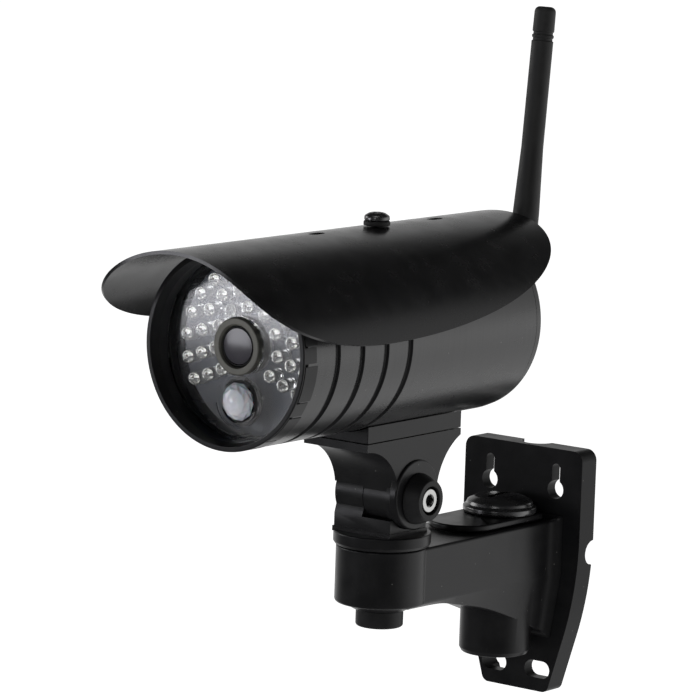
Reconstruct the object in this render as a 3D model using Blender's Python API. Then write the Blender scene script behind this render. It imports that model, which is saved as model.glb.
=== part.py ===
"""Bullet security camera on a wall bracket, as separate named parts.

Frame: origin on the wall at the middle of the bracket's back face, +X to the camera's
left-hand side as it looks out, -Y out of the wall, +Z up. Dimensions are in millimetres
and become metres when a mesh is made.
"""

import math

import bmesh
import bpy
from mathutils import Matrix, Vector

MM = 0.001
GAP = 0.3

# Wall plate
PLATE_DEPTH = 9.0
PLATE_SKIN = 3.0
PLATE_RIM = 2.4
PLATE_HALF_WIDTH = 26.5
PLATE_HALF_HEIGHT = 45.9
PLATE_BEND_Z = 14.0
PLATE_BEND_RADIUS = 135.0
PLATE_BEND_ANGLE = math.radians(16.7)
KEYHOLE_X, KEYHOLE_Z = 14.9, 30.7
KEYHOLE_RADIUS, KEYHOLE_SLOT, KEYHOLE_TOP = 3.5, 1.75, 38.65
LOWER_SLOT_X, LOWER_SLOT_Z = 9.8, -37.6
LOWER_SLOT_HALF_LENGTH, LOWER_SLOT_HALF_HEIGHT = 5.6, 3.2
LIP_WIDTH, LIP_DEPTH = 0.9, 4.8
ARM_SCREWS = {"left": (-11.8, 10.5), "right": (11.8, 10.5), "low": (0.0, -18.5)}
DUCT_HOLE_Z = 12.5

# Arm
PIVOT_Y = -93.6
ARM_HALF_WIDTH = 15.2
ARM_TOP = 19.4
ARM_CREASE = -0.7
ARM_NOSE_RADIUS = 16.3
BOSS_Y, BOSS_RADIUS, BOSS_BOTTOM = -22.8, 13.1, -30.0
DUCT_HALF_WIDTH, DUCT_NOSE_Y = 12.8, -45.0

# Pan and tilt joint
PIVOT_Z = 38.1
TURNTABLE_RADIUS = 17.4
TURNTABLE_BOTTOM, TURNTABLE_TOP = 19.7, 24.6
EAR_RADIUS, EAR_FAR_X, EAR_NEAR_X = 10.4, -13.7, -1.4
LEDGE_TOP, LEDGE_OUT_X, LEDGE_FOOT_TOP = 30.6, 11.3, 25.9
CHEEK_RADIUS, CHEEK_IN_X, SADDLE_HALF_WIDTH = 11.2, 9.3, 14.1
CHEEK_DISC_RADIUS, CHEEK_DISC_Z, CHEEK_FACE_X = 12.5, 39.4, 15.0
SADDLE_TOP = 60.3
RAIL_FRONT, RAIL_REAR = -122.2, -68.0
TILT_BORE = 2.8

# Camera body
AXIS_Z = 98.1
TUBE_RADIUS, TUBE_BORE = 34.2, 31.4
TUBE_FRONT, TUBE_REAR = -182.5, -52.2
RING_FRONT, RING_RADIUS, RING_BORE = -185.0, 34.4, 31.2
RING_NOTCHES = 12
GROOVE_FIRST, GROOVE_PITCH, GROOVE_WIDTH, GROOVE_DEPTH = -166.5, 13.4, 2.9, 1.1
PANEL_FRONT, PANEL_THICKNESS, PANEL_RADIUS = -177.1, 2.0, 32.6
LENS_Z, PIR_Z = AXIS_Z + 0.7, AXIS_Z - 18.3
LED_BOARD_Y = -168.0
LED_RINGS = ((13.7, -40.0, 9, 32.5), (19.8, -35.0, 12, 22.7), (26.0, -31.0, 15, 17.3))
CAP_REAR = -48.8

# Sunshield
VISOR_RADIUS, VISOR_THICKNESS, VISOR_DROP = 48.4, 1.2, 12.6
VISOR_SWEEP = math.radians(69.2)
VISOR_LOW_Y = PIVOT_Y - 58.0
VISOR_REACH_FRONT, VISOR_REACH_REAR = 61.0, 123.2
VISOR_SCREW_Y, VISOR_HOLE_PITCH = -102.9, 33.8

# Antenna
HINGE_Y = -16.8
ANTENNA_LEAN = math.radians(5.6)
WHIP_LENGTH, WHIP_FOOT_RADIUS, WHIP_RADIUS = 109.3, 4.85, 4.05

for leftover in list(bpy.data.objects):
    bpy.data.objects.remove(leftover, do_unlink=True)


# ---------------------------------------------------------------- outlines

def arc(centre, radius, start, end, steps):
    """Points along an arc, in degrees, both ends included."""
    angles = [math.radians(start + (end - start) * i / steps) for i in range(steps + 1)]
    return [(centre[0] + radius * math.cos(a), centre[1] + radius * math.sin(a)) for a in angles]


def circle(centre, radius, steps=16):
    return arc(centre, radius, 0, 360, steps)[:-1]


def rounded(corners, steps=3):
    """A polygon whose corners (x, y, radius) are rounded."""
    outline = []
    for i, (x, y, radius) in enumerate(corners):
        here = Vector((x, y))
        before = (Vector(corners[i - 1][:2]) - here).normalized()
        after = (Vector(corners[(i + 1) % len(corners)][:2]) - here).normalized()
        if radius <= 0:
            outline.append((x, y))
            continue
        half = before.angle(after) / 2
        centre = here + (before + after).normalized() * (radius / math.sin(half))
        first = here + before * (radius / math.tan(half)) - centre
        last = here + after * (radius / math.tan(half)) - centre
        turn = first.angle_signed(last)
        for k in range(steps + 1):
            spoke = first.copy()
            spoke.rotate(Matrix.Rotation(-turn * k / steps, 2))
            outline.append(tuple(centre + spoke))
    return outline


def box_outline(low, high, radius=0.0):
    return rounded([(low[0], low[1], radius), (high[0], low[1], radius),
                    (high[0], high[1], radius), (low[0], high[1], radius)])


def mirrored(half):
    """A whole outline from its +X half, listed top to bottom."""
    return half + [(-x, z) for x, z in reversed(half)]


# ---------------------------------------------------------------- solids

AXES = {"X": ((1, 0, 0), (0, 1, 0), (0, 0, 1)),
        "Y": ((0, 1, 0), (1, 0, 0), (0, 0, 1)),
        "Z": ((0, 0, 1), (1, 0, 0), (0, 1, 0))}


def place(axis, along, across, up):
    """A point in metres from its height along an axis and its two other coordinates."""
    direction, first, second = (Vector(v) for v in AXES[axis])
    return (direction * along + first * across + second * up) * MM


def loft(sections):
    """A closed solid through sections of matching points, in metres."""
    mesh = bmesh.new()
    rings = [[mesh.verts.new(point) for point in section] for section in sections]
    count = len(rings[0])
    for low, high in zip(rings, rings[1:]):
        for i in range(count):
            j = (i + 1) % count
            mesh.faces.new((low[i], low[j], high[j], high[i]))
    mesh.faces.new(rings[0])
    mesh.faces.new(rings[-1])
    return mesh


def prism(outline, axis, low, high):
    return loft([[place(axis, h, a, b) for a, b in outline] for h in (low, high)])


def revolve(profile, axis, centre, steps=40):
    """A solid turned from (radius, height) points; a profile off the axis makes a ring."""
    mesh = bmesh.new()
    ring_like = profile[0][0] > 0
    flat_start = not ring_like and profile[0][1] == profile[1][1]
    flat_end = not ring_like and profile[-1][1] == profile[-2][1]
    loops = []
    for radius, height in profile[flat_start:len(profile) - flat_end]:
        points = circle(centre, radius, steps) if radius else [centre]
        loops.append([mesh.verts.new(place(axis, height, a, b)) for a, b in points])
    pairs = list(zip(loops, loops[1:]))
    if ring_like:
        pairs.append((loops[-1], loops[0]))
    for one, two in pairs:
        for i in range(steps):
            j = (i + 1) % steps
            corners = [one[i % len(one)], one[j % len(one)], two[j % len(two)], two[i % len(two)]]
            corners = list(dict.fromkeys(corners))
            mesh.faces.new(corners)
    if flat_start:
        mesh.faces.new(loops[0])
    if flat_end:
        mesh.faces.new(loops[-1])
    return mesh


def cylinder(axis, centre, radius, low, high, steps=24, chamfer=0.0):
    profile = [(0, low), (radius - chamfer, low), (radius, low + chamfer),
               (radius, high - chamfer), (radius - chamfer, high), (0, high)]
    if chamfer == 0:
        profile = [(0, low), (radius, low), (radius, high), (0, high)]
    return revolve(profile, axis, centre, steps)


def tube(axis, centre, inner, outer, low, high, steps=24):
    return revolve([(inner, low), (outer, low), (outer, high), (inner, high)], axis, centre, steps)


def block(low, high):
    return prism(box_outline(low[:2], high[:2]), "Z", low[2], high[2])


# ---------------------------------------------------------------- objects

FINISHES = {
    "black paint": ((0.012, 0.012, 0.013), 0.38, 0.0),
    "gloss black": ((0.008, 0.008, 0.008), 0.12, 0.0),
    "black plastic": ((0.02, 0.02, 0.021), 0.55, 0.0),
    "rubber": ((0.015, 0.015, 0.015), 0.8, 0.0),
    "steel": ((0.62, 0.62, 0.62), 0.28, 1.0),
    "brass": ((0.78, 0.6, 0.3), 0.3, 1.0),
    "clear": ((0.85, 0.88, 0.9), 0.05, 0.0),
    "lens metal": ((0.13, 0.13, 0.11), 0.4, 0.7),
    "lens glass": ((0.05, 0.04, 0.08), 0.05, 0.0),
    "milky plastic": ((0.75, 0.75, 0.76), 0.35, 0.0),
    "circuit board": ((0.02, 0.03, 0.045), 0.5, 0.0),
}


def make_object(name, mesh):
    bmesh.ops.recalc_face_normals(mesh, faces=mesh.faces)
    data = bpy.data.meshes.new(name)
    mesh.to_mesh(data)
    mesh.free()
    made = bpy.data.objects.new(name, data)
    bpy.context.scene.collection.objects.link(made)
    return made


def part(name, mesh, finish, pivot=None):
    """One sub-part with its own material, parented to its joint's empty."""
    made = make_object(name, mesh)
    made.data.shade_smooth()
    made.data.set_sharp_from_angle(angle=math.radians(35))
    colour, roughness, metallic = FINISHES[finish]
    material = bpy.data.materials.new(name)
    material.use_nodes = True
    shader = material.node_tree.nodes["Principled BSDF"]
    shader.inputs["Base Color"].default_value = (*colour, 1)
    shader.inputs["Roughness"].default_value = roughness
    shader.inputs["Metallic"].default_value = metallic
    made.data.materials.append(material)
    if pivot:
        made.parent = pivot
        made.matrix_parent_inverse = pivot.matrix_world.inverted()
    return made


def combine(target, operation, mesh):
    """A Boolean with a hidden helper solid."""
    helper = make_object(f"{target.name}_helper_{len(target.modifiers)}", mesh)
    helper.hide_render = True
    helper.display_type = "WIRE"
    modifier = target.modifiers.new(operation.lower(), "BOOLEAN")
    modifier.operation = operation
    modifier.object = helper


def cut(target, mesh):
    combine(target, "DIFFERENCE", mesh)


def add(target, mesh):
    combine(target, "UNION", mesh)


def joint_empty(name, location, parent=None):
    empty = bpy.data.objects.new(name, None)
    bpy.context.scene.collection.objects.link(empty)
    empty.location = Vector(location) * MM
    bpy.context.view_layer.update()
    if parent:
        empty.parent = parent
        empty.matrix_parent_inverse = parent.matrix_world.inverted()
        bpy.context.view_layer.update()
    return empty


PAN = joint_empty("pan_axis", (0, PIVOT_Y, TURNTABLE_BOTTOM))
TILT = joint_empty("tilt_axis", (0, PIVOT_Y, PIVOT_Z), PAN)
SWIVEL = joint_empty("antenna_swivel_axis", (0, HINGE_Y, AXIS_Z), TILT)
FOLD = joint_empty("antenna_fold_axis", (0, HINGE_Y, AXIS_Z), SWIVEL)
PIVOT = (PIVOT_Y, PIVOT_Z)
NOSE = (0, PIVOT_Y)
BOSS = (0, BOSS_Y)
AXIS = (0, AXIS_Z)


# ---------------------------------------------------------------- wall plate

def plate_outline(inset=0.0):
    """The shield outline: straight sides above, drawn in towards the foot."""
    side = PLATE_HALF_WIDTH - inset
    sweep = math.degrees(PLATE_BEND_ANGLE)
    bend = arc((side - PLATE_BEND_RADIUS, PLATE_BEND_Z), PLATE_BEND_RADIUS, 0, -sweep, 5)
    last_x, last_z = bend[-1]
    bottom = -PLATE_HALF_HEIGHT + inset
    foot_x = last_x - (last_z - bottom) * math.tan(PLATE_BEND_ANGLE)
    top = PLATE_HALF_HEIGHT - inset
    half = [(side, top, 4.0)] + [(x, z, 0.0) for x, z in bend] + [(foot_x, bottom, 3.0)]
    return rounded(half + [(-x, z, r) for x, z, r in reversed(half)])


def keyhole_outline(x, grow=0.0):
    """A round head entry with a narrower slot above it."""
    slot = KEYHOLE_SLOT + grow
    radius = KEYHOLE_RADIUS + grow
    turn = math.degrees(math.asin(slot / radius))
    bowl = arc((x, KEYHOLE_Z), radius, 90 + turn, 450 - turn, 14)
    return bowl + arc((x, KEYHOLE_TOP), slot, 0, 180, 6)


def slot_outline(x, grow=0.0):
    half = LOWER_SLOT_HALF_LENGTH + grow
    height = LOWER_SLOT_HALF_HEIGHT + grow
    return box_outline((x - half, LOWER_SLOT_Z - height), (x + half, LOWER_SLOT_Z + height), height - 0.01)


def build_wall_plate():
    plate = part("wall_plate", prism(plate_outline(), "Y", -PLATE_DEPTH, 0), "black paint")
    floor = -PLATE_DEPTH + PLATE_SKIN
    cut(plate, prism(plate_outline(PLATE_RIM), "Y", floor, 1))
    lands = [circle((0, 0), 8.0)] + [circle(spot, 5.6) for spot in ARM_SCREWS.values()]
    lands.append(box_outline((-1.2, -36), (1.2, 36)))
    for outline in lands:
        add(plate, prism(outline, "Y", floor - 0.5, 0))
    lips = [keyhole_outline(side * KEYHOLE_X, LIP_WIDTH) for side in (-1, 1)]
    lips += [slot_outline(side * LOWER_SLOT_X, LIP_WIDTH) for side in (-1, 1)]
    for outline in lips:
        add(plate, prism(outline, "Y", floor - 0.5, LIP_DEPTH - PLATE_DEPTH))
    for side in (-1, 1):
        cut(plate, prism(keyhole_outline(side * KEYHOLE_X), "Y", -PLATE_DEPTH - 1, 1))
        cut(plate, prism(slot_outline(side * LOWER_SLOT_X), "Y", -PLATE_DEPTH - 1, 1))
        cut(plate, cylinder("X", (0, 7.7), 4.6, side * PLATE_HALF_WIDTH - 3, side * PLATE_HALF_WIDTH + 3))
    cut(plate, cylinder("Z", (0, 0), 6.2, PLATE_HALF_HEIGHT - 5, PLATE_HALF_HEIGHT + 1))
    cut(plate, cylinder("Y", (0, DUCT_HOLE_Z), 4.0, -PLATE_DEPTH - 1, 1, 20))
    for spot in ARM_SCREWS.values():
        cut(plate, cylinder("Y", spot, 2.2, -PLATE_DEPTH - 1, 1, 16))
        cut(plate, cylinder("Y", spot, 3.9, -4.3, 1, 16))


# ---------------------------------------------------------------- arm

def arm_section(y, half_width, top, crease, low_half, bottom):
    """The arm's section: flat sides down to a crease, then tucked in to the underside."""
    bevel = 1.0
    half = [(half_width - bevel, top), (half_width, top - bevel), (half_width, crease), (low_half, bottom)]
    return [place("Y", y, x, z) for x, z in mirrored(half)]


def build_arm():
    straight = [(PIVOT_Y, -2.3), (-75.0, -2.8), (-64.0, -4.8), (-50.5, -7.7), (-38.0, -11.7),
                (-25.3, -16.6), (-14.5, -21.3)]
    sections = [arm_section(y, ARM_HALF_WIDTH, ARM_TOP, ARM_CREASE, 12.5, low) for y, low in straight]
    flare = [(-12.0, 0.8, 0.4), (-10.2, 2.4, 1.1), (-PLATE_DEPTH - GAP, 3.8, 1.9)]
    for y, out, rise in flare:
        sections.append(arm_section(y, ARM_HALF_WIDTH + out, ARM_TOP + rise, ARM_CREASE,
                                    12.5 + out * 0.7, -22.3 - rise * 1.4))
    arm = part("arm", loft(sections), "black paint")
    nose = [(0, -3.3), (9.9, -3.3), (11.6, -3.0), (13.4, -1.4), (15.2, -1.0), (ARM_NOSE_RADIUS, 0.2),
            (ARM_NOSE_RADIUS, ARM_TOP), (0, ARM_TOP)]
    add(arm, revolve(nose, "Z", NOSE, 36))
    boss = [(0, BOSS_BOTTOM), (BOSS_RADIUS - 1.4, BOSS_BOTTOM), (BOSS_RADIUS, BOSS_BOTTOM + 1.7),
            (BOSS_RADIUS, 18.0), (0, 18.0)]
    add(arm, revolve(boss, "Z", BOSS, 32))
    cut(arm, cylinder("Z", NOSE, 4.6, -5, ARM_TOP + 1, 24))
    cut(arm, cylinder("Z", NOSE, 7.3, -5, 6.0, 24))
    cut(arm, cylinder("Z", BOSS, 9.0, BOSS_BOTTOM - 1, ARM_TOP + 1))
    pocket = rounded([(-8.4, DUCT_NOSE_Y, 5), (8.4, DUCT_NOSE_Y, 5),
                      (8.4, BOSS_Y + 1, 0), (-8.4, BOSS_Y + 1, 0)])
    cut(arm, prism(pocket, "Z", 8.7, ARM_TOP + 1))
    cut(arm, cylinder("Y", (0, DUCT_HOLE_Z), 4.0, BOSS_Y, 0, 20))
    for spot in ARM_SCREWS.values():
        cut(arm, cylinder("Y", spot, 2.2, -21.0, 0, 16))


def build_arm_fittings():
    nose = arc((0, DUCT_NOSE_Y), DUCT_HALF_WIDTH, 180, 360, 16)
    outline = nose + [(DUCT_HALF_WIDTH, -13.2), (-DUCT_HALF_WIDTH, -13.2)]
    cover = part("duct_cover", prism(outline, "Z", ARM_TOP + GAP, 22.2), "black paint")
    cut(cover, cylinder("Z", BOSS, 9.0, 10, 30))
    dome = [(0, 22.5), (13.0, 22.5), (13.6, 23.1), (13.6, 24.6), (12.4, 25.2), (12.0, 26.6),
            (9.5, 28.0), (5.0, 28.8), (0, 29.0)]
    cap = part("cable_cap", revolve(dome, "Z", BOSS, 28), "gloss black")
    cut(cap, block((-1.1, BOSS_Y - 7.0, 27.6), (1.1, BOSS_Y + 7.0, 30.0)))
    add(cap, cylinder("Z", BOSS, 8.6, 14.0, 22.9))
    plug = cylinder("Z", BOSS, 8.6, BOSS_BOTTOM + 0.4, BOSS_BOTTOM + 4.0, 32, 0.4)
    part("boss_plug", plug, "black plastic")
    for place_name, spot in ARM_SCREWS.items():
        profile = [(0, -20.0), (1.8, -20.0), (1.8, -4.0), (3.5, -4.0), (3.5, -2.2), (2.6, -1.4), (0, -1.4)]
        screw = part(f"arm_screw_{place_name}", revolve(profile, "Y", spot, 16), "steel")
        for size in ((2.2, 0.5), (0.5, 2.2)):
            low = (spot[0] - size[0], -2.6, spot[1] - size[1])
            cut(screw, block(low, (spot[0] + size[0], 0, spot[1] + size[1])))
    spigot = [(0, -9.7), (7.6, -9.7), (8.5, -8.8), (8.5, -3.6), (6.9, -3.6), (6.9, -1.2), (0, -1.2)]
    part("lower_cap", revolve(spigot, "Z", NOSE, 32), "black plastic")
    part("pan_washer", tube("Z", NOSE, 4.5, 7.0, 4.7, 5.7, 24), "steel")


# ---------------------------------------------------------------- turntable

def build_turntable():
    disc = [(0, TURNTABLE_BOTTOM), (16.2, TURNTABLE_BOTTOM), (TURNTABLE_RADIUS, 20.9),
            (TURNTABLE_RADIUS, TURNTABLE_TOP - 0.6), (16.9, TURNTABLE_TOP), (0, TURNTABLE_TOP)]
    base = part("pan_base", revolve(disc, "Z", NOSE, 36), "black paint", PAN)
    front, rear = PIVOT_Y - EAR_RADIUS, PIVOT_Y + EAR_RADIUS
    add(base, block((EAR_FAR_X, front, TURNTABLE_TOP - 1), (LEDGE_OUT_X, rear, LEDGE_TOP)))
    foot_low = (EAR_FAR_X - 0.4, front - 0.5, TURNTABLE_TOP - 0.6)
    add(base, block(foot_low, (LEDGE_OUT_X + 0.4, rear + 0.5, LEDGE_FOOT_TOP)))
    ear = [(front, 27.0), (front, LEDGE_TOP)] + arc(PIVOT, EAR_RADIUS, 205, 0, 22) + [(rear, 27.0)]
    add(base, prism(ear, "X", EAR_FAR_X, EAR_NEAR_X))
    cut(base, cylinder("X", PIVOT, EAR_RADIUS + GAP, EAR_NEAR_X, 20, 40))
    cut(base, cylinder("X", PIVOT, CHEEK_RADIUS + GAP, CHEEK_IN_X - GAP, 20, 40))
    cut(base, cylinder("X", PIVOT, TILT_BORE, -20, 20, 20))
    nut_recess = circle(PIVOT, 4.9, 6)
    cut(base, prism(nut_recess, "X", -20, -9.4))
    cut(base, cylinder("Z", NOSE, 3.5, TURNTABLE_BOTTOM - 1, 28.0, 20))
    bolt = [(0, -0.5), (5.4, -0.5), (5.4, 4.4), (3.2, 4.4), (3.2, 27.6), (0, 27.6)]
    part("pan_bolt", revolve(bolt, "Z", NOSE, 20), "steel", PAN)
    nut = part("tilt_nut", prism(circle(PIVOT, 4.5, 6), "X", -13.4, -9.7), "steel", PAN)
    cut(nut, cylinder("X", PIVOT, TILT_BORE, -20, 0, 20))


# ---------------------------------------------------------------- saddle and tilt lock

def saddle_outline():
    """Side view: a thin seat plate swept down by two hollow rounds to the barrel."""
    front_hollow = arc((RAIL_FRONT, 38.8), 18.7, 90, 6, 10)
    rear_hollow = arc((-58.5, 36.9), 23.1, 166, 114.3, 10)
    return [(RAIL_FRONT, SADDLE_TOP)] + front_hollow + rear_hollow + [(RAIL_REAR, SADDLE_TOP)]


def build_saddle():
    saddle = part("saddle", prism(saddle_outline(), "X", -SADDLE_HALF_WIDTH, SADDLE_HALF_WIDTH),
                  "black paint", TILT)
    barrel_in = EAR_NEAR_X + GAP
    add(saddle, cylinder("X", PIVOT, EAR_RADIUS, barrel_in - 1, CHEEK_IN_X + 1, 40))
    add(saddle, cylinder("X", PIVOT, CHEEK_RADIUS, CHEEK_IN_X, SADDLE_HALF_WIDTH - 1, 40))
    disc_centre = (PIVOT_Y, CHEEK_DISC_Z)
    add(saddle, cylinder("X", disc_centre, CHEEK_DISC_RADIUS, LEDGE_OUT_X + 0.6, CHEEK_FACE_X, 40, 0.7))
    cut(saddle, cylinder("X", PIVOT, EAR_RADIUS + 0.4, -20, barrel_in, 40))
    cut(saddle, cylinder("X", PIVOT, TILT_BORE, -3, 20, 20))
    seat = CHEEK_FACE_X + GAP
    collar = [(TILT_BORE, seat), (9.2, seat), (9.2, seat + 0.7), (7.6, 20.4), (7.1, 21.0), (5.1, 21.0),
              (5.1, seat + 0.8), (TILT_BORE, seat + 0.8)]
    part("tilt_collar", revolve(collar, "X", PIVOT, 28), "black plastic", TILT)
    shank = [(0, -12.0), (2.45, -12.0), (2.45, seat + 1.1), (4.26, seat + 1.1), (4.26, 20.1), (3.9, 20.5),
             (0, 20.5)]
    screw = part("tilt_screw", revolve(shank, "X", PIVOT, 24), "steel", TILT)
    cut(screw, prism(circle(PIVOT, 2.3, 6), "X", 17.6, 22))


def build_rail():
    """The seat block: flat below, hollowed above to the tube."""
    radius = TUBE_RADIUS + GAP
    reach = math.degrees(math.asin(SADDLE_HALF_WIDTH / radius))
    hollow = arc(AXIS, radius, -90 - reach, -90 + reach, 12)
    outline = hollow + [(SADDLE_HALF_WIDTH, SADDLE_TOP + GAP), (-SADDLE_HALF_WIDTH, SADDLE_TOP + GAP)]
    rail = part("seat_block", prism(outline, "Y", RAIL_FRONT, RAIL_REAR), "black paint", TILT)
    saddle = bpy.data.objects["saddle"]
    body_tube = bpy.data.objects["body_tube"]
    for place_name, y in (("front", PIVOT_Y - 15.0), ("rear", PIVOT_Y + 14.0)):
        spot = (0, y)
        cut(rail, cylinder("Z", spot, 2.2, 50, 70, 16))
        cut(saddle, cylinder("Z", spot, 2.2, 54.0, 70, 16))
        cut(body_tube, cylinder("Z", spot, 2.2, 60, 70, 16))
        profile = [(0, 54.6), (1.9, 54.6), (1.9, 67.2), (3.3, 67.2), (3.3, 68.6), (2.4, 69.4),
                   (0, 69.4)]
        part(f"seat_screw_{place_name}", revolve(profile, "Z", spot, 16), "steel", TILT)


# ---------------------------------------------------------------- camera body

def build_body_tube():
    profile = [(TUBE_BORE, -172.0), (33.0, -172.0), (33.0, TUBE_FRONT), (TUBE_RADIUS, TUBE_FRONT)]
    for k in range(4):
        middle = GROOVE_FIRST + GROOVE_PITCH * k
        low, high = middle - GROOVE_WIDTH / 2, middle + GROOVE_WIDTH / 2
        floor = TUBE_RADIUS - GROOVE_DEPTH
        profile += [(TUBE_RADIUS, low), (floor, low + 0.4), (floor, high - 0.4), (TUBE_RADIUS, high)]
    profile += [(TUBE_RADIUS, TUBE_REAR), (TUBE_BORE, TUBE_REAR)]
    body = part("body_tube", revolve(profile, "Y", AXIS, 36), "black paint", TILT)
    cut(body, cylinder("Z", (0, VISOR_SCREW_Y), 2.2, AXIS_Z + 25, AXIS_Z + 40, 16))


def build_front():
    ring = [(32.6, RING_FRONT), (34.0, RING_FRONT), (RING_RADIUS, RING_FRONT + 0.4), (RING_RADIUS, -182.8),
            (32.7, -182.8), (32.7, PANEL_FRONT - GAP), (RING_BORE, PANEL_FRONT - GAP), (31.4, -181.6)]
    front = part("front_ring", revolve(ring, "Y", AXIS, 48), "black paint", TILT)
    for k in range(RING_NOTCHES):
        angle = math.radians(5 + 360 * k / RING_NOTCHES)
        turn = Matrix.Translation(Vector((0, 0, AXIS_Z * MM))) @ Matrix.Rotation(angle, 4, "Y")
        notch = block((-2.4, RING_FRONT - 1, 33.5), (2.4, -182.6, 36))
        notch.transform(turn)
        cut(front, notch)
    panel = part("front_panel", cylinder("Y", AXIS, PANEL_RADIUS, PANEL_FRONT,
                                         PANEL_FRONT + PANEL_THICKNESS, 40), "clear", TILT)
    cut(panel, cylinder("Y", (0, LENS_Z), 10.1, -180, -170))
    cut(panel, cylinder("Y", (0, PIR_Z), 7.3, -180, -170))
    part("front_gasket", tube("Y", AXIS, 31.7, 32.6, -174.8, -172.3, 36), "rubber", TILT)


def build_led_board():
    board = part("led_board", cylinder("Y", AXIS, 30.9, LED_BOARD_Y, LED_BOARD_Y + 1.6, 36),
                 "circuit board", TILT)
    for radius, start, count, step in LED_RINGS:
        for k in range(count):
            angle = math.radians(start + step * k)
            centre = (radius * math.cos(angle), AXIS_Z + radius * math.sin(angle))
            led = [(0, -174.7), (1.7, -174.4), (2.45, LED_BOARD_Y + 0.5), (0, LED_BOARD_Y + 0.5)]
            add(board, revolve(led, "Y", centre, 6))
    cut(board, cylinder("Y", (0, LENS_Z), 8.0, -180, -160, 24))


def build_optics():
    lens = (0, LENS_Z)
    collar = [(7.1, -178.7), (9.4, -178.7), (9.8, -178.3), (9.8, -171.0), (7.1, -171.0)]
    part("lens_ring", revolve(collar, "Y", lens, 28), "lens metal", TILT)
    barrel = [(6.45, -177.6), (6.8, -177.6), (6.8, -158.0), (3.0, -158.0), (3.0, -170.0), (6.45, -175.6)]
    part("lens_barrel", revolve(barrel, "Y", lens, 24), "black plastic", TILT)
    glass = [(0, -177.9), (2.6, -177.75), (4.6, -177.4), (6.1, -176.8), (5.2, -175.4), (0, -175.4)]
    part("lens_glass", revolve(glass, "Y", lens, 24), "lens glass", TILT)
    housing = box_outline((-9, LENS_Z - 9), (9, LENS_Z + 9), 1.5)
    holder = part("lens_holder", prism(housing, "Y", -166.0, -155.0), "black plastic", TILT)
    cut(holder, cylinder("Y", lens, 7.1, -170, -157.5))
    cut(holder, prism(box_outline((-4.5, LENS_Z - 4.5), (4.5, LENS_Z + 4.5)), "Y", -170, -150))
    board = box_outline((-19, LENS_Z - 15), (19, LENS_Z + 15), 2)
    part("sensor_board", prism(board, "Y", -154.7, -153.2), "circuit board", TILT)
    pir = (0, PIR_Z)
    dome = [(0, -180.4), (2.4, -180.1), (4.6, -179.2), (6.2, -177.8), (6.9, -176.6), (6.9, -174.7),
            (8.6, -174.7), (8.6, -173.8), (5.9, -173.8), (5.9, -176.2), (4.2, -177.7), (2.2, -178.7),
            (0, -179.0)]
    part("pir_lens", revolve(dome, "Y", pir, 20), "milky plastic", TILT)
    part("pir_sensor", cylinder("Y", pir, 4.6, -173.2, LED_BOARD_Y - GAP, 24, 0.4), "steel", TILT)


def build_electronics():
    rest_z = 88.2
    channel = [(-24, 82), (24, 82), (24, 92), (22.2, 92), (22.2, 84), (-22.2, 84), (-22.2, 92),
               (-24, 92)]
    sled = part("electronics_sled", prism(channel, "Y", -150.0, -62.0), "black plastic", TILT)
    for x in (-18, 18):
        for y in (-142, -70):
            add(sled, cylinder("Z", (x, y), 2.5, 83.5, rest_z, 12))
    board_top = rest_z + GAP + 1.6
    part("main_board", block((-21.6, -148, rest_z + GAP), (21.6, -64, board_top)), "circuit board", TILT)
    top = board_top + GAP
    part("wifi_module", prism(box_outline((-10, -98), (10, -70), 1), "Z", top, top + 3.2), "steel", TILT)
    chip = box_outline((-8, -128), (8, -112), 0.5)
    part("processor", prism(chip, "Z", top, top + 2.0), "black plastic", TILT)


# ---------------------------------------------------------------- rear cap

GLAND = (0, AXIS_Z - 19.0)
CAP_SCREWS = {"top": 90, "left": 210, "right": 330}


def build_rear():
    profile = [(0, -57.5), (29.6, -57.5), (29.6, -51.9), (33.9, -51.9), (33.9, CAP_REAR - 0.6),
               (33.3, CAP_REAR), (8.4, CAP_REAR), (7.8, CAP_REAR + 0.9), (0, CAP_REAR + 0.9)]
    cap = part("rear_cap", revolve(profile, "Y", AXIS, 40), "black paint", TILT)
    part("rear_gasket", tube("Y", AXIS, 29.9, 31.1, -56.5, -53.0, 36), "rubber", TILT)
    cut(cap, cylinder("Y", AXIS, 3.7, -60, -40, 20))
    cut(cap, cylinder("Y", GLAND, 5.3, -60, -40, 24))
    for place_name, degrees in CAP_SCREWS.items():
        spot = arc(AXIS, 26.3, degrees, degrees, 1)[0]
        cut(cap, cylinder("Y", spot, 1.8, -60, -40, 16))
        cut(cap, cylinder("Y", spot, 3.1, -50.4, -40, 16))
        head = [(0, -61.5), (1.4, -61.5), (1.4, -50.0), (2.7, -50.0), (2.7, -48.9), (1.9, -48.3),
                (0, -48.3)]
        part(f"cap_screw_{place_name}", revolve(head, "Y", spot, 16), "steel", TILT)
    gland = [(2.6, -60.5), (4.9, -60.5), (4.9, CAP_REAR + GAP), (7.2, CAP_REAR + GAP), (7.2, -44.5),
             (6.2, -43.6), (6.2, -39.0), (5.0, -37.4), (2.6, -37.4)]
    part("cable_gland", revolve(gland, "Y", GLAND, 24), "black plastic", TILT)
    jack = [(0, -61.0), (3.3, -61.0), (3.3, -47.6), (5.6, -47.6), (5.6, -46.8), (3.2, -46.8),
            (3.2, -40.2), (0, -40.2)]
    part("antenna_jack", revolve(jack, "Y", AXIS, 18), "brass", TILT)


# ---------------------------------------------------------------- antenna

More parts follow.
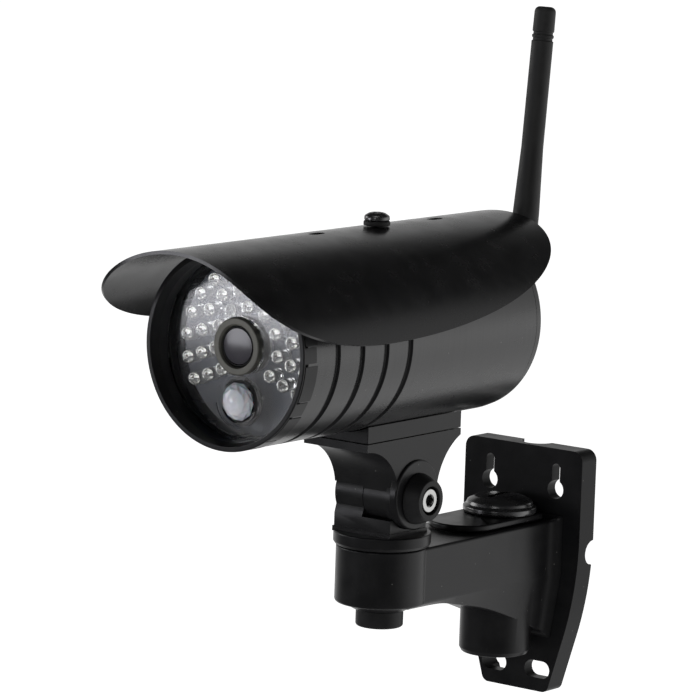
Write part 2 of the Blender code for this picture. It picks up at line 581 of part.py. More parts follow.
def build_antenna():
    nut = part("antenna_nut", tube("Y", AXIS, 3.6, 5.4, -46.4, -37.4, 24), "black plastic", SWIVEL)
    for k in range(12):
        flute = circle(arc(AXIS, 5.7, 30 * k, 30 * k, 1)[0], 0.55, 6)
        cut(nut, prism(flute, "Y", -45.6, -38.2))
    body = [(0, -39.8), (3.2, -39.8), (3.2, -37.1), (4.5, -37.1), (4.8, -36.4), (4.8, HINGE_Y - 4.0),
            (0, HINGE_Y - 4.0)]
    knuckle = part("antenna_knuckle", revolve(body, "Y", AXIS, 22), "rubber", SWIVEL)
    hinge = (HINGE_Y, AXIS_Z)
    fork = [(HINGE_Y - 5, AXIS_Z - 4.6)] + arc(hinge, 4.6, -90, 90, 14) + [(HINGE_Y - 5, AXIS_Z + 4.6)]
    add(knuckle, prism(fork, "X", -4.7, 4.7))
    cut(knuckle, block((-2.3, HINGE_Y - 5.4, AXIS_Z - 6), (2.3, HINGE_Y + 6, AXIS_Z + 6)))
    cut(knuckle, cylinder("X", hinge, 1.5, -6, 6, 16))
    part("fold_pin", cylinder("X", hinge, 1.2, -4.6, 4.6, 16), "steel", SWIVEL)
    build_whip(hinge)


def build_whip(hinge):
    """The rubber rod, thickest at its foot, with two shallow grooves near the tip."""
    lean = Matrix.Translation(Vector((0, HINGE_Y, AXIS_Z)) * MM) @ Matrix.Rotation(-ANTENNA_LEAN, 4, "X")
    thin, groove = WHIP_RADIUS, WHIP_RADIUS - 0.35
    rod = [(0, 5.2), (4.5, 5.2), (WHIP_FOOT_RADIUS, 5.8), (WHIP_FOOT_RADIUS, 34), (thin, 58)]
    for below_tip in (12.6, 10.4):
        rod += [(thin, WHIP_LENGTH - below_tip), (groove, WHIP_LENGTH - below_tip + 0.4),
                (groove, WHIP_LENGTH - below_tip + 1.0), (thin, WHIP_LENGTH - below_tip + 1.4)]
    rod += [(thin, WHIP_LENGTH - 2.0), (thin - 0.6, WHIP_LENGTH - 0.5), (2.4, WHIP_LENGTH), (0, WHIP_LENGTH)]
    stem = revolve(rod, "Z", (0, 0), 18)
    stem.transform(lean)
    whip = part("antenna_whip", stem, "rubber", FOLD)
    tongue = prism([(-4.0, 6.0)] + arc((0, 0), 4.0, 180, 360, 12) + [(4.0, 6.0)], "X", -2.0, 2.0)
    tongue.transform(lean)
    add(whip, tongue)
    cut(whip, cylinder("X", hinge, 1.5, -4, 4, 16))


# ---------------------------------------------------------------- sunshield

def visor_edges(share):
    """Front and rear edge, in mm along Y, at a share of the sweep from the crown."""
    share = abs(share)
    front = VISOR_LOW_Y - VISOR_REACH_FRONT * math.sqrt(1 - share ** 4.75)
    rear = VISOR_LOW_Y + VISOR_REACH_REAR * math.sqrt(1 - share ** 3.0)
    return front, rear


def visor_point(radius, share, y):
    angle = VISOR_SWEEP * share
    centre_z = AXIS_Z - VISOR_DROP
    return Vector((radius * math.sin(angle), y, centre_z + radius * math.cos(angle))) * MM


def build_visor():
    """A rolled sheet whose edge sweeps back to a low point on each side."""
    columns = 32
    shares = [0.9995 * math.sin(math.pi / 2 * (2 * i / columns - 1)) for i in range(columns + 1)]
    mesh = bmesh.new()
    rims = []
    for radius in (VISOR_RADIUS, VISOR_RADIUS - VISOR_THICKNESS):
        fronts = [mesh.verts.new(visor_point(radius, share, visor_edges(share)[0])) for share in shares]
        rears = [mesh.verts.new(visor_point(radius, share, visor_edges(share)[1])) for share in shares]
        for i in range(columns):
            mesh.faces.new((fronts[i], fronts[i + 1], rears[i + 1], rears[i]))
        rims.append(fronts + rears[::-1])
    for i in range(len(rims[0])):
        mesh.faces.new((rims[0][i - 1], rims[0][i], rims[1][i], rims[1][i - 1]))
    visor = part("visor", mesh, "black paint", TILT)
    for k in (-1, 0, 1):
        cut(visor, cylinder("Z", (0, VISOR_SCREW_Y + VISOR_HOLE_PITCH * k), 2.3, 125, 140, 16))
    top = AXIS_Z - VISOR_DROP + VISOR_RADIUS
    spot = (0, VISOR_SCREW_Y)
    part("visor_washer", tube("Z", spot, 2.3, 4.7, top + GAP, top + 1.9, 24), "rubber", TILT)
    head = top + 2.2
    profile = [(0, 127.0), (1.95, 127.0), (1.95, head), (4.5, head), (4.5, head + 0.9), (3.7, head + 2.0),
               (1.9, head + 2.6), (0, head + 2.7)]
    screw = part("visor_screw", revolve(profile, "Z", spot, 18), "gloss black", TILT)
    for size in ((2.6, 0.5), (0.5, 2.6)):
        low = (-size[0], VISOR_SCREW_Y - size[1], head + 1.3)
        cut(screw, block(low, (size[0], VISOR_SCREW_Y + size[1], head + 5)))
    nut = part("visor_nut", prism(circle(spot, 3.6, 6), "Z", 126.2, 128.8), "steel", TILT)
    cut(nut, cylinder("Z", spot, 2.3, 120, 130, 16))


build_wall_plate()
build_arm()
build_arm_fittings()
build_turntable()
build_saddle()
build_body_tube()
build_rail()
build_front()
build_led_board()
build_optics()
build_electronics()
build_rear()
build_antenna()
build_visor()
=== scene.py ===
"""Looks for the bullet security camera: finer shells, lenses, emitters and procedural materials,
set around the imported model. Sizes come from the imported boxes, in millimetres."""

import math

import bmesh
import bpy
from mathutils import Matrix, Vector


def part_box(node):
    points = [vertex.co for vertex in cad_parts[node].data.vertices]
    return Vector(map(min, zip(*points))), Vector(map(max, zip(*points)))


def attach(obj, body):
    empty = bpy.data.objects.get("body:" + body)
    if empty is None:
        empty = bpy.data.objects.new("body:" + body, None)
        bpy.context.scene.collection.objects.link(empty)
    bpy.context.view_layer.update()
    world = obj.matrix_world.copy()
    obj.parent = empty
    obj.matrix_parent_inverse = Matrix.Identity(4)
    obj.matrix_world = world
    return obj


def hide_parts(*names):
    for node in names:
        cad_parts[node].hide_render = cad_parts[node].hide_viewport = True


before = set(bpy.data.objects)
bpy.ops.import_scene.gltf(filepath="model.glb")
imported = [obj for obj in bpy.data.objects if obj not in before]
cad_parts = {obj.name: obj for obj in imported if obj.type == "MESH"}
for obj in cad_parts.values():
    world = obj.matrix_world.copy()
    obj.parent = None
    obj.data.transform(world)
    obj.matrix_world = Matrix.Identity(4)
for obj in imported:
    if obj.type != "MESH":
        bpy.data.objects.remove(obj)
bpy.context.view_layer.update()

MM = 0.001


def extent(node):
    low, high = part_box(node)
    return Vector(low) / MM, Vector(high) / MM


# ---------------------------------------------------------------- driving sizes

tube_low, tube_high = extent("body_tube")
ring_low, ring_high = extent("front_ring")
panel_low, panel_high = extent("front_panel")
visor_low, visor_high = extent("visor")
plate_low, plate_high = extent("wall_plate")
arm_low, arm_high = extent("arm")
base_low, base_high = extent("pan_base")
saddle_low, saddle_high = extent("saddle")
lens_low, lens_high = extent("lens_ring")
pir_low, pir_high = extent("pir_lens")
cap_low, cap_high = extent("cable_cap")
cover_low, cover_high = extent("duct_cover")
screw_low, screw_high = extent("tilt_screw")
hinge_low, hinge_high = extent("fold_pin")

GAP = 0.3
AXIS_Z = (tube_low.z + tube_high.z) / 2
AXIS = (0, AXIS_Z)
TUBE_RADIUS = tube_high.x
PIVOT_Y = (base_low.y + base_high.y) / 2
PIVOT_Z = (screw_low.z + screw_high.z) / 2
PIVOT = (PIVOT_Y, PIVOT_Z)
NOSE = (0, PIVOT_Y)
BOSS_Y = (cap_low.y + cap_high.y) / 2
BOSS = (0, BOSS_Y)
LENS = (0, (lens_low.z + lens_high.z) / 2)
PIR = (0, (pir_low.z + pir_high.z) / 2)
HINGE = ((hinge_low.y + hinge_high.y) / 2, (hinge_low.z + hinge_high.z) / 2)


# ---------------------------------------------------------------- outlines

def arc(centre, radius, start, end, steps):
    angles = [math.radians(start + (end - start) * i / steps) for i in range(steps + 1)]
    return [(centre[0] + radius * math.cos(a), centre[1] + radius * math.sin(a)) for a in angles]


def circle(centre, radius, steps=64):
    return arc(centre, radius, 0, 360, steps)[:-1]


def rounded(corners, closed=True, degrees=11.25):
    """A line through (a, b, radius) corners, each corner turned by an arc."""
    outline = []
    last = len(corners) - 1
    for i, (a, b, radius) in enumerate(corners):
        if radius <= 0 or (not closed and i in (0, last)):
            outline.append((a, b))
            continue
        here = Vector((a, b))
        before = (Vector(corners[i - 1][:2]) - here).normalized()
        after = (Vector(corners[(i + 1) % len(corners)][:2]) - here).normalized()
        half = before.angle(after) / 2
        centre = here + (before + after).normalized() * (radius / math.sin(half))
        spoke = here + before * (radius / math.tan(half)) - centre
        turn = spoke.angle_signed(here + after * (radius / math.tan(half)) - centre)
        steps = max(2, math.ceil(abs(math.degrees(turn)) / degrees))
        for k in range(steps + 1):
            turned = spoke.copy()
            turned.rotate(Matrix.Rotation(-turn * k / steps, 2))
            outline.append(tuple(centre + turned))
    return outline


def box_outline(low, high, radius=0.0):
    return rounded([(low[0], low[1], radius), (high[0], low[1], radius),
                    (high[0], high[1], radius), (low[0], high[1], radius)])


def smooth_line(points, steps):
    """A Catmull-Rom curve through the points."""
    padded = [points[0]] + list(points) + [points[-1]]
    line = []
    for a, b, c, d in zip(padded, padded[1:], padded[2:], padded[3:]):
        for k in range(steps):
            t = k / steps
            line.append(tuple(0.5 * (2 * q + (r - p) * t + (2 * p - 5 * q + 4 * r - s) * t * t
                                     + (3 * q - p - 3 * r + s) * t ** 3)
                              for p, q, r, s in zip(a, b, c, d)))
    return line + [tuple(points[-1])]


# ---------------------------------------------------------------- meshes

AXES = {"X": ((1, 0, 0), (0, 1, 0), (0, 0, 1)),
        "Y": ((0, 1, 0), (1, 0, 0), (0, 0, 1)),
        "Z": ((0, 0, 1), (1, 0, 0), (0, 1, 0))}


def place(axis, along, across, up):
    direction, first, second = (Vector(v) for v in AXES[axis])
    return (direction * along + first * across + second * up) * MM


def loft(sections):
    """A closed solid through sections that have the same number of points."""
    mesh = bmesh.new()
    rings = [[mesh.verts.new(point) for point in section] for section in sections]
    count = len(rings[0])
    for low, high in zip(rings, rings[1:]):
        for i in range(count):
            j = (i + 1) % count
            mesh.faces.new((low[i], low[j], high[j], high[i]))
    mesh.faces.new(rings[0])
    mesh.faces.new(rings[-1])
    return mesh


def prism(outline, axis, low, high):
    return loft([[place(axis, h, a, b) for a, b in outline] for h in (low, high)])


def block(low, high):
    return prism(box_outline(low[:2], high[:2]), "Z", low[2], high[2])


def lathe(profile, axis, centre, steps=96):
    """Turns (radius, height, fillet) points about an axis; a profile off the axis makes a ring."""
    ring_like = profile[0][0] > 0
    points = rounded(profile, closed=ring_like)
    flat_start = not ring_like and points[0][1] == points[1][1]
    flat_end = not ring_like and points[-1][1] == points[-2][1]
    mesh = bmesh.new()
    loops = []
    for radius, height in points[flat_start:len(points) - flat_end]:
        spots = circle(centre, radius, steps) if radius > 0 else [centre]
        loops.append([mesh.verts.new(place(axis, height, a, b)) for a, b in spots])
    pairs = list(zip(loops, loops[1:]))
    if ring_like:
        pairs.append((loops[-1], loops[0]))
    for one, two in pairs:
        for i in range(steps):
            j = (i + 1) % steps
            corners = [one[i % len(one)], one[j % len(one)], two[j % len(two)], two[i % len(two)]]
            mesh.faces.new(list(dict.fromkeys(corners)))
    if flat_start:
        mesh.faces.new(loops[0])
    if flat_end:
        mesh.faces.new(loops[-1])
    return mesh


def merged(*meshes):
    """Several separate solids as one mesh."""
    whole = bmesh.new()
    for mesh in meshes:
        data = bpy.data.meshes.new("part")
        mesh.to_mesh(data)
        mesh.free()
        whole.from_mesh(data)
        bpy.data.meshes.remove(data)
    return whole


# ---------------------------------------------------------------- objects

def raw_object(name, mesh):
    bmesh.ops.recalc_face_normals(mesh, faces=mesh.faces)
    data = bpy.data.meshes.new(name)
    mesh.to_mesh(data)
    mesh.free()
    made = bpy.data.objects.new(name, data)
    bpy.context.scene.collection.objects.link(made)
    return made


def sculpt(target, steps):
    """Booleans, in order: ("cut" or "add", mesh)."""
    helpers = []
    for kind, mesh in steps:
        helper = raw_object("helper", mesh)
        helpers.append(helper)
        modifier = target.modifiers.new(kind, "BOOLEAN")
        modifier.operation = "DIFFERENCE" if kind == "cut" else "UNION"
        modifier.solver = "EXACT"
        modifier.object = helper
    settle(target)
    for helper in helpers:
        bpy.data.objects.remove(helper, do_unlink=True)


def settle(target):
    """Applies every modifier."""
    graph = bpy.context.evaluated_depsgraph_get()
    baked = bpy.data.meshes.new_from_object(target.evaluated_get(graph))
    target.modifiers.clear()
    target.data = baked


def soften(target, width, segments=3, limit=32):
    bevel = target.modifiers.new("edges", "BEVEL")
    bevel.width = width * MM
    bevel.segments = segments
    bevel.limit_method = "ANGLE"
    bevel.angle_limit = math.radians(limit)
    bevel.use_clamp_overlap = True
    bevel.harden_normals = False
    settle(target)


def piece(name, mesh, look, body, nodes, steps=(), edge=0.0, sharp=40, segments=3):
    """One finished piece: shaped, smoothed, coloured, riding on its body in place of its nodes."""
    made = raw_object(name, mesh)
    if steps:
        sculpt(made, steps)
    if edge:
        soften(made, edge, segments)
    made.data.shade_smooth()
    made.data.set_sharp_from_angle(angle=math.radians(sharp))
    weighted = made.modifiers.new("normals", "WEIGHTED_NORMAL")
    weighted.keep_sharp = True
    weighted.weight = 80
    settle(made)
    made.data.materials.clear()
    made.data.materials.append(look)
    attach(made, body)
    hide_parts(*nodes)
    return made


# ---------------------------------------------------------------- materials

def new_material(name):
    made = bpy.data.materials.new(name)
    made.use_nodes = True
    tree = made.node_tree
    return made, tree, tree.nodes["Principled BSDF"]


def set_sockets(node, values):
    """Sets input sockets by name, with _ for each space."""
    for key, value in values.items():
        node.inputs[key.replace("_", " ")].default_value = value


def add_node(tree, kind, **inputs):
    node = tree.nodes.new(kind)
    set_sockets(node, inputs)
    return node


def object_noise(tree, scale_mm, detail=4.0, roughness=0.5, stretch=(1, 1, 1)):
    """Noise with features of about scale_mm, fixed to the piece."""
    coordinates = tree.nodes.new("ShaderNodeTexCoord")
    mapping = tree.nodes.new("ShaderNodeMapping")
    mapping.inputs["Scale"].default_value = [s / (scale_mm * MM) for s in stretch]
    tree.links.new(coordinates.outputs["Object"], mapping.inputs["Vector"])
    noise = add_node(tree, "ShaderNodeTexNoise", Scale=1.0, Detail=detail, Roughness=roughness)
    tree.links.new(mapping.outputs["Vector"], noise.inputs["Vector"])
    return noise.outputs["Fac"]


def ranged(tree, source, low, high, start=0.35, end=0.65):
    """Turns start to end of a source into low to high; noise keeps mostly within 0.35 to 0.65."""
    node = add_node(tree, "ShaderNodeMapRange", From_Min=start, From_Max=end, To_Min=low, To_Max=high)
    tree.links.new(source, node.inputs["Value"])
    return node.outputs["Result"]


def blended(tree, factor, dark, light):
    node = tree.nodes.new("ShaderNodeMix")
    node.data_type = "RGBA"
    tree.links.new(factor, node.inputs["Factor"])
    node.inputs[6].default_value = (*dark, 1)
    node.inputs[7].default_value = (*light, 1)
    return node.outputs[2]


def bumped(tree, shader, height, depth_mm, before=None):
    node = tree.nodes.new("ShaderNodeBump")
    node.inputs["Strength"].default_value = 1.0
    node.inputs["Distance"].default_value = depth_mm * MM
    tree.links.new(height, node.inputs["Height"])
    if before:
        tree.links.new(before, node.inputs["Normal"])
    tree.links.new(node.outputs["Normal"], shader.inputs["Normal"])
    return node.outputs["Normal"]


def finish(name, dark, light, rough, grain_mm=0.35, bump_mm=0.006, patch_mm=9.0, metallic=0.0, **sockets):
    """A surface whose shade and gloss wander over patch_mm, with a fine grain of bump."""
    made, tree, shader = new_material(name)
    patches = object_noise(tree, patch_mm, 6.0, 0.6)
    grain = object_noise(tree, grain_mm, 2.0, 0.5)
    tree.links.new(blended(tree, ranged(tree, patches, 0, 1), dark, light), shader.inputs["Base Color"])
    tree.links.new(ranged(tree, patches, *rough), shader.inputs["Roughness"])
    bumped(tree, shader, grain, bump_mm)
    shader.inputs["Metallic"].default_value = metallic
    set_sockets(shader, sockets)
    return made


DUST_SPACING = 5.5


def dusted(made, amount):
    """Sparse pale dust specks over a finish."""
    tree = made.node_tree
    shader = tree.nodes["Principled BSDF"]
    coordinates = tree.nodes.new("ShaderNodeTexCoord")
    cells = tree.nodes.new("ShaderNodeTexVoronoi")
    cells.inputs["Scale"].default_value = 1 / (DUST_SPACING * MM)
    tree.links.new(coordinates.outputs["Object"], cells.inputs["Vector"])
    specks = ranged(tree, cells.outputs["Distance"], 1, 0, 0.03, 0.05)
    mix = tree.nodes.new("ShaderNodeMix")
    mix.data_type = "RGBA"
    tree.links.new(specks, mix.inputs["Factor"])
    tree.links.new(shader.inputs["Base Color"].links[0].from_socket, mix.inputs[6])
    mix.inputs[7].default_value = (amount, amount, amount * 0.95, 1)
    tree.links.new(mix.outputs[2], shader.inputs["Base Color"])
    return made


LATHE_LINES_END = -128.0


def turned_finish():
    """Satin black metal with fine lathe lines round it, strong ahead of LATHE_LINES_END and faint behind."""
    made, tree, shader = new_material("turned_black")
    lines = object_noise(tree, 0.55, 3.0, 0.7, stretch=(0.02, 1, 0.02))
    patches = object_noise(tree, 14.0, 5.0, 0.6, stretch=(1, 0.35, 1))
    tree.links.new(blended(tree, ranged(tree, lines, 0, 1), (0.006, 0.006, 0.0065), (0.013, 0.013, 0.0135)),
                   shader.inputs["Base Color"])
    tree.links.new(ranged(tree, patches, 0.25, 0.32), shader.inputs["Roughness"])
    shader.inputs["IOR"].default_value = 1.74
    coordinates = tree.nodes.new("ShaderNodeTexCoord")
    split = tree.nodes.new("ShaderNodeSeparateXYZ")
    tree.links.new(coordinates.outputs["Object"], split.inputs["Vector"])
    front = ranged(tree, split.outputs["Y"], 1.0, 0.22, LATHE_LINES_END * MM, (LATHE_LINES_END + 8) * MM)
    product = tree.nodes.new("ShaderNodeMath")
    product.operation = "MULTIPLY"
    tree.links.new(lines, product.inputs[0])
    tree.links.new(front, product.inputs[1])
    first = bumped(tree, shader, product.outputs[0], 0.02)
    bumped(tree, shader, object_noise(tree, 0.3, 2.0), 0.004, first)
    return made


def glass(name, tint, roughness, ior=1.5, waviness_mm=0.0, **sockets):
    """Clear material with a slightly wandering tint and gloss."""
    made, tree, shader = new_material(name)
    haze = object_noise(tree, 6.0, 5.0, 0.65)
    tree.links.new(ranged(tree, haze, *roughness), shader.inputs["Roughness"])
    pale = [min(1.0, c * 1.06) for c in tint]
    tree.links.new(blended(tree, ranged(tree, haze, 0, 1), tint, pale), shader.inputs["Base Color"])
    if waviness_mm:
        bumped(tree, shader, object_noise(tree, 4.0, 1.0), waviness_mm)
    shader.inputs["Transmission Weight"].default_value = 1.0
    shader.inputs["IOR"].default_value = ior
    set_sockets(shader, sockets)
    return made


def board_finish():
    """Dark blue-grey solder mask with faint copper runs under it."""
    made, tree, shader = new_material("solder_mask")
    coordinates = tree.nodes.new("ShaderNodeTexCoord")
    bricks = tree.nodes.new("ShaderNodeTexBrick")
    bricks.inputs["Scale"].default_value = 1 / (9 * MM)
    bricks.inputs["Mortar Size"].default_value = 0.03
    bricks.inputs["Color1"].default_value = (0.030, 0.040, 0.062, 1)
    bricks.inputs["Color2"].default_value = (0.036, 0.047, 0.070, 1)
    bricks.inputs["Mortar"].default_value = (0.055, 0.068, 0.095, 1)
    tree.links.new(coordinates.outputs["Object"], bricks.inputs["Vector"])
    tree.links.new(bricks.outputs["Color"], shader.inputs["Base Color"])
    tree.links.new(ranged(tree, object_noise(tree, 5.0), 0.3, 0.45), shader.inputs["Roughness"])
    bumped(tree, shader, bricks.outputs["Fac"], 0.02)
    return made


PAINT = dusted(finish("satin_black", (0.006, 0.006, 0.0065), (0.009, 0.009, 0.0095), (0.29, 0.36), 0.4, 0.008,
                      IOR=1.4), 0.1)
VISOR_PAINT = dusted(finish("visor_black", (0.005, 0.005, 0.0055), (0.008, 0.008, 0.0085), (0.22, 0.28), 0.35,
                            0.005), 0.05)
# A darker copy of the satin black: same colours, but a lower IOR gives weaker reflection. This is painted
# shade over the whole wall plate, its sides and keyhole walls.
SHADED_PLATE_PAINT = dusted(finish("plate_black_painted_shade", (0.006, 0.006, 0.0065), (0.009, 0.009, 0.0095), (0.30, 0.37), 0.4,
                            0.008, IOR=1.26), 0.1)
TURNED = dusted(turned_finish(), 0.14)
GLOSS = finish("gloss_black", (0.021, 0.021, 0.022), (0.028, 0.028, 0.029), (0.22, 0.30), 1.2, 0.004,
               IOR=2.2)
PLASTIC = finish("moulded_black", (0.008, 0.008, 0.0085), (0.013, 0.013, 0.0135), (0.42, 0.52), 0.25, 0.014,
                 IOR=1.35)
RUBBER = finish("rubber_black", (0.010, 0.010, 0.010), (0.016, 0.016, 0.016), (0.5, 0.62), 0.3, 0.012)
STEEL = finish("plated_steel", (0.55, 0.55, 0.54), (0.68, 0.68, 0.67), (0.2, 0.32), 0.3, 0.004, 4.0, 1.0)
BRASS = finish("brass", (0.66, 0.47, 0.2), (0.8, 0.6, 0.3), (0.22, 0.34), 0.3, 0.004, 4.0, 1.0)
LENS_METAL = finish("anodised_ring", (0.100, 0.099, 0.088), (0.138, 0.136, 0.120), (0.38, 0.46), 0.25, 0.006,
                    5.0, 0.55)
LENS_GLASS = finish("coated_glass", (0.024, 0.022, 0.029), (0.034, 0.031, 0.039), (0.12, 0.18), 3.0, 0.003,
                    Coat_Weight=0.35, Coat_Roughness=0.34)
PANEL_GLASS = glass("clear_panel", (0.95, 0.96, 0.98), (0.0, 0.004), 1.12, Coat_Weight=0.8,
                    Coat_Roughness=0.11)
EPOXY = glass("clear_epoxy", (0.97, 0.98, 0.98), (0.0, 0.006), 1.5, 0.03)
CUP = finish("bright_cup", (0.75, 0.75, 0.72), (0.9, 0.9, 0.87), (0.04, 0.10), 0.5, 0.09, 1.0, 1.0)
DIE = finish("emitter_die", (0.05, 0.03, 0.02), (0.12, 0.08, 0.04), (0.3, 0.4), 0.2, 0.004, 0.5)
MILKY = finish("milky_lens", (0.56, 0.58, 0.63), (0.66, 0.68, 0.73), (0.16, 0.24), 0.8, 0.01, 3.0,
               Subsurface_Weight=0.35, Subsurface_Scale=0.002, Coat_Weight=0.5, Coat_Roughness=0.05)
BOARD = board_finish()


# ---------------------------------------------------------------- wall plate

PLATE_HALF = plate_high.x
PLATE_TOP = plate_high.z
PLATE_FRONT = plate_low.y
PLATE_SKIN, PLATE_RIM = 3.0, 2.4
PLATE_BEND_Z, PLATE_BEND_RADIUS, PLATE_BEND_DEGREES = 14.0, 135.0, 16.7
KEYHOLE_X, KEYHOLE_Z, KEYHOLE_RADIUS, KEYHOLE_SLOT, KEYHOLE_TOP = 14.9, 30.7, 3.5, 1.75, 38.65
LIP_WIDTH, LIP_DEPTH = 0.9, 4.8
LOWER_SLOT_X, LOWER_SLOT_Z = 9.8, -37.6
LOWER_SLOT_HALF, LOWER_SLOT_RADIUS = 5.6, 3.2
ARM_SCREWS = [(-11.8, 10.5), (11.8, 10.5), (0.0, -18.5)]
SCREW_HOLE, SCREW_HEAD_HOLE = 2.2, 3.9
SIDE_NOTCH_Z, SIDE_NOTCH_RADIUS = 7.7, 4.6
TOP_NOTCH_RADIUS, DUCT_HOLE_Z, DUCT_HOLE_RADIUS = 6.2, 12.5, 4.0
CENTRE_LAND, SCREW_LAND = 8.0, 5.6


def plate_outline(inset=0.0):
    side = PLATE_HALF - inset
    bend = arc((side - PLATE_BEND_RADIUS, PLATE_BEND_Z), PLATE_BEND_RADIUS, 0, -PLATE_BEND_DEGREES, 14)
    last_x, last_z = bend[-1]
    top = PLATE_TOP - inset
    foot_x = last_x - (last_z + top) * math.tan(math.radians(PLATE_BEND_DEGREES))
    half = [(side, top, 4.0)] + [(x, z, 0.0) for x, z in bend] + [(foot_x, -top, 3.0)]
    return rounded(half + [(-x, z, r) for x, z, r in reversed(half)], degrees=9)


def keyhole_outline(x, grow=0.0):
    slot, radius = KEYHOLE_SLOT + grow, KEYHOLE_RADIUS + grow
    turn = math.degrees(math.asin(slot / radius))
    return arc((x, KEYHOLE_Z), radius, 90 + turn, 450 - turn, 36) + arc((x, KEYHOLE_TOP), slot, 0, 180, 16)


def lower_slot_outline(x, grow=0.0):
    half, height = LOWER_SLOT_HALF + grow, LOWER_SLOT_RADIUS + grow
    return box_outline((x - half, LOWER_SLOT_Z - height), (x + half, LOWER_SLOT_Z + height), height - 0.01)


def make_wall_plate():
    floor = PLATE_FRONT + PLATE_SKIN
    steps = [("cut", prism(plate_outline(PLATE_RIM), "Y", floor, 1))]
    lands = [circle((0, 0), CENTRE_LAND)] + [circle(spot, SCREW_LAND, 32) for spot in ARM_SCREWS]
    lands.append(box_outline((-1.2, -36), (1.2, 36)))
    steps += [("add", prism(outline, "Y", floor - 0.5, 0)) for outline in lands]
    lips = [keyhole_outline(side * KEYHOLE_X, LIP_WIDTH) for side in (-1, 1)]
    lips += [lower_slot_outline(side * LOWER_SLOT_X, LIP_WIDTH) for side in (-1, 1)]
    steps += [("add", prism(outline, "Y", floor - 0.5, PLATE_FRONT + LIP_DEPTH)) for outline in lips]
    for side in (-1, 1):
        steps.append(("cut", prism(keyhole_outline(side * KEYHOLE_X), "Y", PLATE_FRONT - 1, 1)))
        steps.append(("cut", prism(lower_slot_outline(side * LOWER_SLOT_X), "Y", PLATE_FRONT - 1, 1)))
        notch = circle((0, SIDE_NOTCH_Z), SIDE_NOTCH_RADIUS, 40)
        steps.append(("cut", prism(notch, "X", side * PLATE_HALF - 3, side * PLATE_HALF + 3)))
    steps.append(("cut", prism(circle((0, 0), TOP_NOTCH_RADIUS, 48), "Z", PLATE_TOP - 5, PLATE_TOP + 1)))
    steps.append(("cut", prism(circle((0, DUCT_HOLE_Z), DUCT_HOLE_RADIUS, 40), "Y", PLATE_FRONT - 1, 1)))
    for spot in ARM_SCREWS:
        steps.append(("cut", prism(circle(spot, SCREW_HOLE, 32), "Y", PLATE_FRONT - 1, 1)))
        steps.append(("cut", prism(circle(spot, SCREW_HEAD_HOLE, 32), "Y", -4.3, 1)))
    piece("plate_shell", prism(plate_outline(), "Y", PLATE_FRONT, 0), SHADED_PLATE_PAINT, "bracket", ["wall_plate"],
          steps=steps, edge=0.55)


# ---------------------------------------------------------------- arm

ARM_HALF = 15.2
ARM_TOP = 19.4
CREASE_Z = -0.7
NOSE_RADIUS = 16.3
FLARE_START = -14.6
BOSS_RADIUS = 13.1
BOSS_BOTTOM = arm_low.z
BOSS_BORE, BOLT_BORE, WASHER_BORE = 9.0, 4.6, 7.3
DUCT_FRONT, DUCT_HALF = -45.0, 8.4
UNDERSIDE = [(PIVOT_Y, -2.3), (-75.0, -2.8), (-64.0, -4.8), (-50.5, -7.7), (-38.0, -11.7),
             (-25.3, -16.6), (FLARE_START, -21.3)]


def arm_section(y, out, rise, bottom):
    """Flat sides with a rounded top edge, a soft crease, then tucked in to the underside."""
    half = rounded([(0, ARM_TOP + rise, 0), (ARM_HALF + out, ARM_TOP + rise, 1.1),
                    (ARM_HALF + out, CREASE_Z, 2.0), (12.5 + out * 0.7, bottom, 0.8), (0, bottom, 0)],
                   closed=False, degrees=20)
    return [place("Y", y, x, z) for x, z in half + [(-x, z) for x, z in reversed(half[1:-1])]]


def make_arm():
    sections = [arm_section(y, 0, 0, bottom) for y, bottom in smooth_line(UNDERSIDE, 5)]
    flare_length = plate_low.y - GAP - FLARE_START
    reach = arm_high.x - ARM_HALF
    for k in range(1, 9):
        angle = math.radians(11.25 * k)
        out = reach * (1 - math.cos(angle))
        y = FLARE_START + flare_length * math.sin(angle)
        sections.append(arm_section(y, out, out * 0.5, -21.3 - 1.0 * math.sin(angle) - out * 0.7))
    nose = [(0, -3.3, 0), (9.9, -3.3, 0), (13.1, -1.5, 1.2), (NOSE_RADIUS, -0.9, 1.1),
            (NOSE_RADIUS, ARM_TOP, 0.5), (0, ARM_TOP, 0)]
    boss = [(0, BOSS_BOTTOM, 0), (BOSS_RADIUS - 0.9, BOSS_BOTTOM, 0.6), (BOSS_RADIUS, BOSS_BOTTOM + 1.6, 0.5),
            (BOSS_RADIUS, 18.0, 0), (0, 18.0, 0)]
    pocket = rounded([(-DUCT_HALF, DUCT_FRONT, 5), (DUCT_HALF, DUCT_FRONT, 5), (DUCT_HALF, BOSS_Y + 1, 0),
                      (-DUCT_HALF, BOSS_Y + 1, 0)])
    steps = [("add", lathe(nose, "Z", NOSE)), ("add", lathe(boss, "Z", BOSS)),
             ("cut", prism(circle(NOSE, BOLT_BORE, 48), "Z", -5, ARM_TOP + 1)),
             ("cut", prism(circle(NOSE, WASHER_BORE, 48), "Z", -5, 6.0)),
             ("cut", prism(circle(BOSS, BOSS_BORE), "Z", BOSS_BOTTOM - 1, ARM_TOP + 1)),
             ("cut", prism(pocket, "Z", 8.7, ARM_TOP + 1))]
    piece("arm_casting", loft(sections), PAINT, "bracket", ["arm"], steps=steps, edge=0.3, segments=2)


